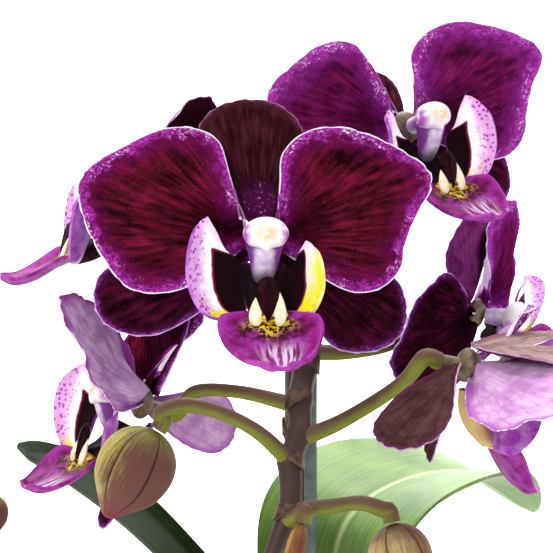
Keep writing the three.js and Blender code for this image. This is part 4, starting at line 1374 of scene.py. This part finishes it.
@dataclass(frozen=True)
class Spike:
    """A flower spike: its stem, swollen at the nodes, the dry scales there, and the stalks."""

    name: str
    path: tuple[Point, ...]
    radii: tuple[float, ...]
    nodes: tuple[int, ...]
    blooms: dict[str, tuple[Point, ...]] = field(default_factory=dict)
    buds: dict[str, tuple[Point, ...]] = field(default_factory=dict)

    stalk_radius = 1.25
    steps = 320
    scale_length, scale_thickness = 3.6, 0.28

    def shares(self) -> Array:
        """Where each point of the path lies, as a share of the whole length."""
        _, run = measured(self.path)
        return np.interp(np.linspace(0, 1, len(self.path)), np.linspace(0, 1, PATH_SAMPLES), run / run[-1])

    def thick(self, share: Array) -> Array:
        """The stem's plain radius at a share of its length."""
        return spline([(radius, 0, 0) for radius in self.radii], share)[:, 0]

    def stem(self) -> Piece:
        """The stem with its swellings."""
        places = self.shares()
        spots = [places[node] for node in self.nodes]

        def radius(share: Array, turn: Array) -> Array:
            """Plain radius, swellings at the nodes, faint ribs."""
            swell = sum(hump(share - spot, 0.0055) for spot in spots)
            ribs = 0.02 * np.sin(10 * PI * turn + 20 * share)
            return self.thick(share) * (1 + 0.2 * np.minimum(swell, 1) + ribs)

        piece = tube(self.name + "_stem", self.path, radius, 28, self.steps)
        return smooth(dress(piece, Skin.STEM), 60)

    def scale(self, node: int, turned: float) -> Piece:
        """The dry scale that clasps the stem at a node and ends in a point."""
        places = self.shares()
        centres, across, over, length = swept(self.path, self.steps)
        start = places[node] * self.steps
        reach = self.scale_length / length * self.steps
        size = self.thick(places[node : node + 1])[0]

        def form(u: Array, v: Array) -> Formed:
            """Wrapped round the stem, narrowing to its point, with the point a little off the stem."""
            ring = np.clip(start + (v - 0.25) * reach, 0, self.steps)
            centre, side, up = (
                np.stack([np.interp(ring, np.arange(self.steps + 1), part[:, k]) for k in range(3)], axis=1)
                for part in (centres, across, over)
            )
            turn = turned + (u - 0.5) * 3.4 * (1 - v**1.6) ** 0.7
            lift = size * 1.14 + 0.2 + 0.25 * v**3
            spoke = side * np.cos(turn)[:, None] + up * np.sin(turn)[:, None]
            return centre + spoke * lift[:, None], {}

        middle = (across[int(start)] * math.cos(turned) + over[int(start)] * math.sin(turned)).tolist()
        return sheet(f"{self.name}_scale_{node}", (14, 12), form, (Skin.SCALE,) * 3, self.scale_thickness, middle)

    def stalk(self, name: str, points: Path) -> Piece:
        """A stalk, stouter at both ends."""

        def radius(share: Array, turn: Array) -> Array:
            """The stalk's radius, with faint ribs."""
            ribs = 0.025 * np.sin(12 * PI * turn)
            return self.stalk_radius * (1.25 - 0.25 * np.sin(PI * share) + ribs)

        return smooth(dress(tube(name, points, radius, 24, 56), Skin.STALK), 60)

    def build(self) -> None:
        """Make the spike with its stalks and set it in its place."""
        pieces = [self.stem()]
        pieces += [self.scale(node, 0.8 + 2.2 * k) for k, node in enumerate(self.nodes)]
        for key, via in self.blooms.items():
            bloom_frame = next(bloom for bloom in BLOOMS if bloom.key == key).frame()
            seat = [np.array(bloom_frame @ Vector((0, 0.2 * MM, z * MM))) / MM for z in (-8.8, -5.95)]
            pieces.append(self.stalk(f"{self.name}_stalk_{key}", [*via, *seat]))
        for key, via in self.buds.items():
            pieces.append(self.stalk(f"{self.name}_stalk_{key}", [*via, *BUDS[key].seat()]))
        hand_over(joined(self.name + "_grown", pieces), "spike", self.name)


SPIKES = (
    Spike(
        "spike_main",
        (
            (0.3, -2.7, 64), (0.4, -2.5, 110), (0.5, -2.0, 160), (0.6, -3.2, 198), (1.6, -10, 217), (2.8, -20, 221),
            (3.0, -29, 212), (2.4, -33.8, 197), (1.4, -37.6, 182), (0.2, -42.6, 175.6), (0.1, -47.4, 170.4),
            (-1.6, -50.6, 166.6), (-1.5, -53.8, 163), (-1.8, -56.6, 158.8), (-3.2, -58.2, 155.6),
            (-5.0, -59.8, 151.6), (-7.2, -61.6, 147.2),
        ),
        (3.0, 2.9, 2.8, 2.7, 2.7, 2.7, 2.8, 2.9, 3.0, 3.0, 2.8, 2.5, 2.3, 2.2, 2.1, 1.9, 1.2),
        (2, 4, 8, 9, 10, 11, 13),
        {
            "a": ((2.5, -32.6, 201.5), (1.0, -38.0, 202.4)),
            "b": ((1.6, -12, 218), (8.5, -11, 221), (15.0, -15.6, 222.6)),
            "c": ((0.4, -3, 190), (-10, -5, 200), (-20.4, -10.5, 204.6)),
            "d": ((0.2, -43.6, 174.6), (-10.7, -37.1, 175.8), (-19.4, -28.6, 174.0)),
            "e": ((0.2, -48.0, 169.6), (8.1, -49.6, 173.6), (17.5, -52.9, 180.6)),
            "f": ((1.5, -37.2, 183.4), (10.0, -32.0, 182.4), (19.0, -27.4, 183.6)),
        },
        {
            "bud_left": ((-1.6, -51.0, 166.4), (-7.6, -53.8, 172.6), (-14.4, -55.4, 176.4), (-20.4, -57.2, 177.9),
                         (-23.8, -58.2, 176.6)),
            "bud_right": ((-1.8, -56.6, 159.0), (5.2, -58.5, 160.4), (10.4, -59.5, 161.3), (14.2, -60.3, 160.4)),
            "bud_shoot": ((-2.4, -57.4, 157.4), (-0.6, -60.2, 159.2)),
        },
    ),
    Spike(
        "spike_side",
        (
            (-6.4, -14.0, 64), (-9.0, -20.0, 84), (-26.0, -27.0, 106), (-48.0, -27.0, 124), (-62.6, -24.0, 140),
            (-66.0, -21.2, 152), (-66.2, -20.6, 158.0),
        ),
        (2.1, 2.0, 1.9, 1.7, 1.5, 1.3, 1.1),
        (2, 4),
        {},
        {"bud_side": ((-66.0, -21.2, 152.4), (-63.0, -21.4, 154.6))},
    ),
)


@dataclass(frozen=True)
class Leaf:
    """A strap leaf along its rib, folded a little, with rounded margins and tip."""

    name: str
    rib: tuple[Point, ...]
    half: float
    skin: Skin = Skin.LEAF
    twist: float = 0
    back: Skin = Skin.LEAF_BACK

    thickness = 1.75
    edge = 0.4
    fold = 0.22
    rows = 240

    def build(self) -> None:
        """Make the leaf and set it in its place."""
        centres = spline(self.rib, np.linspace(0, 1, self.rows + 1))
        tangents = unit(np.gradient(centres, axis=0))
        heading = unit(np.array([*(centres[-1] - centres[0])[:2], 0.0]))
        across = np.array([-heading[1], heading[0], 0.0])

        def form(u: Array, v: Array) -> Formed:
            """Across the rib, with the fold, a shallow groove over the rib and soft waves at the margins."""
            row = np.rint(u * self.rows).astype(int)
            tangent = tangents[row]
            angle = math.radians(self.twist) * np.minimum(1, 3 * u)
            flat = across - (tangent @ across)[:, None] * tangent
            side = unit(flat)
            lifted = np.cross(tangent, side)
            side = side * np.cos(angle)[:, None] + lifted * np.sin(angle)[:, None]
            face = np.cross(tangent, side)
            face = face * np.sign(face[:, 2:3] + 1e-9)
            c = np.sin(PI * (v - 0.5))
            width = self.half * np.maximum(0, np.sin(PI * (0.05 + 0.95 * u))) ** 0.7
            raised = self.fold * np.sqrt(c**2 + 0.004) * width - 0.35 * hump(c * width, 1.0)
            wave = 0.45 * np.abs(c) ** 3 * np.sin(13 * u + 2 * c + self.half) * np.minimum(1, 4 * u)
            points = centres[row] + side * (c * width)[:, None] + face * (raised + wave)[:, None]
            inward = np.minimum(width * (1 - np.abs(c)), 40 * (1 - u))
            return points, {"leaf_place": stacked(u, c * width, inward)}

        skins = (self.skin, self.back, self.skin)
        piece = sheet(self.name + "_grown", (120, 28), form, skins, self.thickness, (0, 0, 1), self.edge, "leaf_place")
        hand_over(piece, "leaf", self.name)


LEAVES = (
    Leaf("leaf_1", ((4.5, 10.9, 91), (7.2, 13.4, 114), (11.4, 17.0, 134), (25.1, 29.2, 140.6), (44, 47, 137.5),
                    (61, 62, 124)), 23),
    # leaf_2 wears the leaf skins with painted shade.
    Leaf("leaf_2", ((-5.5, 9.1, 94), (-15, 10.0, 114), (-33, 12.4, 133), (-49, 18, 144), (-62, 24.4, 150)), 17,
         Skin.LEAF_DARK, 36, Skin.LEAF_DARK_BACK),
    Leaf("leaf_3", ((6.6, 8.0, 85), (22, 10, 101), (48, 14, 108), (75, 18, 101), (96, 21, 86)), 22),
    Leaf("leaf_4", ((-6.1, 5.9, 88), (-22, 3, 104), (-46, -2, 110), (-70, -6, 104), (-88, -9, 90)), 21),
    Leaf("leaf_5", ((6.2, 4.5, 80), (22, -2, 89), (45, -11, 96), (68, -20, 91), (88, -28, 76)), 20),
    Leaf("leaf_6", ((-6.6, 8.0, 80.5), (-24, 10, 91), (-48, 13, 96), (-72, 17, 89), (-90, 19, 74)), 20),
)


class Crown:
    """The short stem that bears the leaves, with its old sheaths, and the roots that run into the mix."""

    middle = (0.0, 7.0)
    bottom, top, radius, top_radius = 62.0, 100.0, 6.1, 4.6
    roots = (
        (-150, 2.0, 33, 12), (-38, 1.6, 35, -14), (22, 2.2, 32, 10), (95, 1.8, 27, -12), (168, 1.8, 33, 14),
    )

    def root(self, name: str, bearing: float, lift: float, reach: float, bend: float) -> Piece:
        """One root over the mix, with its end in it."""

        def place(distance: float, turn: float, z: float) -> Point:
            """A point at a distance from the crown, turned off the bearing."""
            angle = math.radians(bearing + turn)
            return (
                self.middle[0] + distance * math.cos(angle), self.middle[1] + distance * math.sin(angle) * 0.9, z
            )

        path = (
            place(2, 0, 68), place(9, 0, 73 + lift), place(0.55 * reach, bend, 73.6 + lift),
            place(0.82 * reach, 1.6 * bend, 73.8), place(reach, 2 * bend, 65),
        )

        def radius(share: Array, turn: Array) -> Array:
            """A little knobbly."""
            return 2.05 + 0.12 * np.sin(17 * share + bearing) + 0.05 * np.sin(6 * PI * turn + 30 * share)

        return smooth(dress(tube(name, path, radius, 24, 60), Skin.ROOT), 60)

    def build(self) -> None:
        """Make the crown and set it in its place."""
        x, y = self.middle
        rings = (self.bottom, 70, 78, 86, 93, self.top)

        def radius(share: Array, turn: Array) -> Array:
            """Ringed by the scars of old sheaths."""
            plain = self.radius + (self.top_radius - self.radius) * share
            scars = 0.35 * np.abs(np.sin(5 * PI * share)) ** 0.4
            return (plain - 0.3 + scars) * np.minimum(1, 0.35 + 9 * (1 - share)) ** 0.5

        stem = tube("crown_stem", [(x, y, z) for z in rings], radius, 40, 60)
        dress(stem, Skin.SHEATH)
        pieces = [smooth(stem, 60)]
        pieces += [self.root(f"crown_root_{k}", *root) for k, root in enumerate(self.roots)]
        hand_over(joined("crown_grown", pieces), "root", "crown")


def make_cane() -> None:
    """The straight coated cane behind the spike, with a rounded top."""

    def radius(share: Array, turn: Array) -> Array:
        """Plain, but for its rounded top."""
        return 1.3 * np.sqrt(np.clip(1 - np.clip((share - 0.9935) / 0.0065, 0, 0.995) ** 2, 0, 1))

    path = [(3.0, -7.8, z) for z in np.linspace(24, 190, 6)]
    hand_over(smooth(dress(tube("cane_made", path, radius, 28, 300), Skin.CANE), 60), "cane", "cane")


class Pot:
    """A plain round glazed pot with a rim band and three drain holes, turned from its profile."""

    height, foot_radius, rim_radius, wall, floor, band, step, soft = 85.0, 32.0, 45.0, 3.5, 5.0, 9.0, 1.6, 1.2
    drain_count, drain_radius, drain_ring, drill_length = 3, 3.0, 17.0, 30.0

    @classmethod
    def radius(cls, z: float) -> float:
        """The body's outer radius at a height."""
        return cls.foot_radius + (cls.rim_radius - cls.foot_radius) * z / cls.height

    def profile(self) -> Array:
        """The turned outline from the middle of the underside to the middle of the inner floor."""
        low, high, step, soft = self.height - self.band, self.height, self.step, self.soft
        inner = self.radius(high) - self.wall
        corners = [
            ((0, 0), 0), ((self.foot_radius, 0), soft), ((self.radius(low), low), 0.6),
            ((self.radius(low) + step, low + 1.0), 0.6), ((self.radius(high) + step, high), soft),
            ((inner, high), soft), ((self.radius(self.floor) - self.wall, self.floor), 2.6), ((0, self.floor), 0),
        ]
        points = []
        for k, (corner, soften) in enumerate(corners):
            corner = np.array(corner, float)
            if not soften:
                points.append(corner)
                continue
            before = corner + unit(np.array(corners[k - 1][0]) - corner) * soften
            after = corner + unit(np.array(corners[k + 1][0]) - corner) * soften
            for t in np.linspace(0, 1, 7):
                points.append((1 - t) ** 2 * before + 2 * t * (1 - t) * corner + t * t * after)
        return np.array(points)

    def build(self) -> None:
        """Turn the pot, drill its holes and set it in its place."""
        profile = self.profile()
        rows = len(profile) - 1

        def form(u: Array, v: Array) -> Formed:
            """The profile turned round the pot's axis."""
            row = np.rint(v * rows).astype(int)
            radius, z = profile[row].T
            turn = TURN * u
            return np.round(stacked(radius * np.cos(turn), radius * np.sin(turn), z), 7), {}

        piece = smooth(dress(formed("pot_turned", 120, rows, form, closed=True), Skin.GLAZE), 50)
        for k in range(self.drain_count):
            angle = TURN * k / self.drain_count + PI / 2
            place = Vector((math.cos(angle), math.sin(angle), 0)) * self.drain_ring * MM
            size = {"radius": self.drain_radius * MM, "depth": self.drill_length * MM}
            bpy.ops.mesh.primitive_cylinder_add(vertices=40, location=place, **size)
            drill = bpy.context.object
            only(piece)
            cut = piece.modifiers.new("Drain", "BOOLEAN")
            cut.object = drill
            cut.solver = "EXACT"
            bpy.ops.object.modifier_apply(modifier=cut.name)
            bpy.data.objects.remove(drill)
        hand_over(piece, "pot", "pot")


class BarkMix:
    """The bark mix: a lumpy bed that fills the pot, with loose chips on its top."""

    level, top_radius = 73.0, 38.8
    chips, kinds, seed = 150, 9, 11
    keep_clear = ((0.0, 7.0, 9.5), (3.0, -7.8, 3.6), (0.3, -2.7, 5.6), (-6.4, -14.0, 4.6))

    def bed(self) -> Piece:
        """The filling, from the pot's inner floor to its lumpy top."""
        rng = np.random.default_rng(self.seed)
        lumps = rng.uniform((-40, -40, 2.2, 0.5), (40, 40, 5.2, 2.0), (260, 4))
        gap = Pot.wall + 0.12

        def form(u: Array, v: Array) -> Formed:
            """Underside, side and top, each a third of the rows."""
            turn = TURN * u
            low, high = np.clip(3 * v, 0, 1), np.clip(3 * v - 2, 0, 1)
            rise = np.clip(3 * v - 1, 0, 1)
            z = Pot.floor + 0.15 + (self.level - 1.2 - Pot.floor) * rise
            wall = Pot.radius(z) - gap
            corner = 2.6 * (1 - ease(rise, 0.0, 0.05))
            radius = (wall - corner) * low * (1 - high)
            x, y = radius * np.cos(turn), radius * np.sin(turn)
            height = np.zeros(len(u))
            for lump_x, lump_y, size, tall in lumps:
                near = 1 - ((x - lump_x) ** 2 + (y - lump_y) ** 2) / size**2
                height = np.maximum(height, tall * np.sqrt(np.maximum(near, 0)))
            z = z + height * ease(high, 0.02, 0.1)
            return np.round(stacked(x, y, z), 7), {}

        return dress(formed("mix_bed", 120, 120, form, closed=True), Skin.BARK)

    def chip(self, rng: np.random.Generator, number: int) -> Piece:
        """One kind of chip: a split, worn flake."""
        size = rng.uniform((9, 5.5, 2.6), (14, 8.5, 4.6))
        bpy.ops.mesh.primitive_cube_add(size=1)
        piece = bpy.context.object
        piece.name = f"chip_kind_{number}"
        bpy.ops.object.mode_set(mode="EDIT")
        bpy.ops.mesh.subdivide(number_cuts=3)
        bpy.ops.object.mode_set(mode="OBJECT")
        p = read(piece.data.vertices, "co") * 2
        p = p * (1 - 0.16 * (np.abs(p) ** 3).sum(axis=1, keepdims=True) / 3)
        slant, skew, bow = rng.uniform(-0.3, 0.3, 3)
        p[:, 0] *= 1 + slant * p[:, 1]
        p[:, 1] *= 1 - 0.35 * np.abs(p[:, 0]) ** 2 + skew * p[:, 0]
        p[:, 2] += bow * p[:, 0] ** 2 + 0.18 * np.sin(5 * p[:, 1] + 9 * slant) * np.sign(p[:, 2])
        p += rng.normal(0, 0.045, p.shape)
        p = p / 2 * size
        piece.data.vertices.foreach_set("co", (p * MM).ravel())
        write_mark(piece.data, "own_place", p + 60 * number)
        return smooth(dress(piece, Skin.BARK), 32)

    def build(self) -> None:
        """Make the bed and scatter the chips over it, clear of the stems and roots."""
        rng = np.random.default_rng(self.seed)
        kinds = [self.chip(rng, number) for number in range(self.kinds)]
        pieces = [smooth(self.bed(), 40)]
        while len(pieces) <= self.chips:
            reach, angle = self.top_radius * math.sqrt(rng.uniform(0, 1)) - 2.5, rng.uniform(0, TURN)
            x, y = reach * math.cos(angle), reach * math.sin(angle)
            at_wall = math.hypot(x, y) > self.top_radius - 7
            if any(math.hypot(x - cx, y - cy) < clear for cx, cy, clear in self.keep_clear):
                continue
            turn = Matrix.Rotation(rng.uniform(0, TURN), 4, "Z")
            if at_wall:
                x, y = x * (1 - 2.6 / math.hypot(x, y)), y * (1 - 2.6 / math.hypot(x, y))
                turn = Matrix.Rotation(angle + PI / 2 + rng.uniform(-0.3, 0.3), 4, "Z")
            tilt = Matrix.Rotation(rng.uniform(-0.3, 0.3), 4, "X") @ Matrix.Rotation(rng.uniform(-0.2, 0.2), 4, "Y")
            place = Vector((x, y, self.level + rng.uniform(-0.4, 2.2))) * MM
            mesh = kinds[int(rng.integers(self.kinds))].data.copy()
            mesh.transform(Matrix.Translation(place) @ turn @ tilt @ Matrix.Scale(rng.uniform(0.6, 0.95), 4))
            chip = bpy.data.objects.new(f"chip_{len(pieces)}", mesh)
            bpy.context.collection.objects.link(chip)
            pieces.append(chip)
        for kind in kinds:
            bpy.data.objects.remove(kind)
        hand_over(joined("mix_filled", pieces), "bark", "mix")


class Studio:
    """The pale floor that turns up into a backdrop (millimetres), the soft lights and the camera (metres)."""

    floor_width, floor_depth, flat, bend = 5600, 5200, 900, 700
    blooms = (-0.004, -0.04, 0.19)
    lights = (
        ("key", (-0.55, -0.75, 0.75), 5.5, 0.5, "#FFF8F0", blooms),
        ("fill", (0.75, -0.6, 0.35), 1.6, 0.7, "#F4F8FF", blooms),
        ("top", (0.15, 0.45, 0.9), 4.0, 0.6, "#FFFFFF", blooms),
        ("backdrop", (0.0, 0.75, 1.4), 60.0, 1.6, "#FFFFFF", (0.0, 1.7, 0.3)),
    )
    brightness = 0.7
    lens, sensor, near, far = 100, 36, 0.01, 20
    camera_place, camera_tilt = (-0.004, -0.3145, 0.2363), 82

    def backdrop(self) -> None:
        """A sheet that lies flat under the pot and rises behind it in a wide curve."""

        def form(u: Array, v: Array) -> Formed:
            """Flat, then a quarter turn, then straight up."""
            run = self.floor_depth * v - self.floor_depth / 2
            angle = np.clip((run - self.flat) / self.bend, 0, PI / 2)
            y = np.minimum(run, self.flat) + self.bend * np.sin(angle)
            z = self.bend * (1 - np.cos(angle)) + np.maximum(run - self.flat - self.bend * PI / 2, 0)
            return stacked(self.floor_width * (u - 0.5), y, z), {}

        floor = smooth(dress(formed("studio_floor", 8, 96, form), Skin.FLOOR))

    def placed(self, name: str, data: bpy.types.ID, place: Point) -> Piece:
        """A lamp or camera, set in its place."""
        thing = bpy.data.objects.new(name, data)
        bpy.context.collection.objects.link(thing)
        thing.location = place
        return thing

    def build(self) -> None:
        """Set up the floor, the white surroundings, the lights and the camera."""
        self.backdrop()
        scene = bpy.context.scene
        scene.world = bpy.data.worlds.new("white studio")
        scene.world.use_nodes = True
        surroundings = scene.world.node_tree.nodes["Background"]
        surroundings.inputs["Color"].default_value = linear("#FFFFFF")
        surroundings.inputs["Strength"].default_value = self.brightness
        for name, place, power, size, tint, aim in self.lights:
            data = bpy.data.lights.new(name, "AREA")
            data.shape, data.size, data.energy, data.color = "DISK", size, power, linear(tint)[:3]
            lamp = self.placed(name, data, place)
            lamp.rotation_euler = (Vector(aim) - Vector(place)).to_track_quat("-Z", "Y").to_euler()
        data = bpy.data.cameras.new("photo camera")
        data.lens, data.sensor_width, data.clip_start, data.clip_end = self.lens, self.sensor, self.near, self.far
        camera = self.placed("photo camera", data, self.camera_place)
        camera.rotation_euler = (math.radians(self.camera_tilt), 0, 0)
        scene.camera = camera
        scene.view_settings.view_transform = "Standard"


def main() -> None:
    """Build the orchid from its pot up, then the studio around it."""
    logging.basicConfig(level=logging.INFO, format="%(name)s %(message)s")
    for part in (Pot(), BarkMix(), Crown(), *LEAVES, *SPIKES, *BUDS.values(), *BLOOMS):
        part.build()
    make_cane()
    Studio().build()


if __name__ == "__main__":
    main()
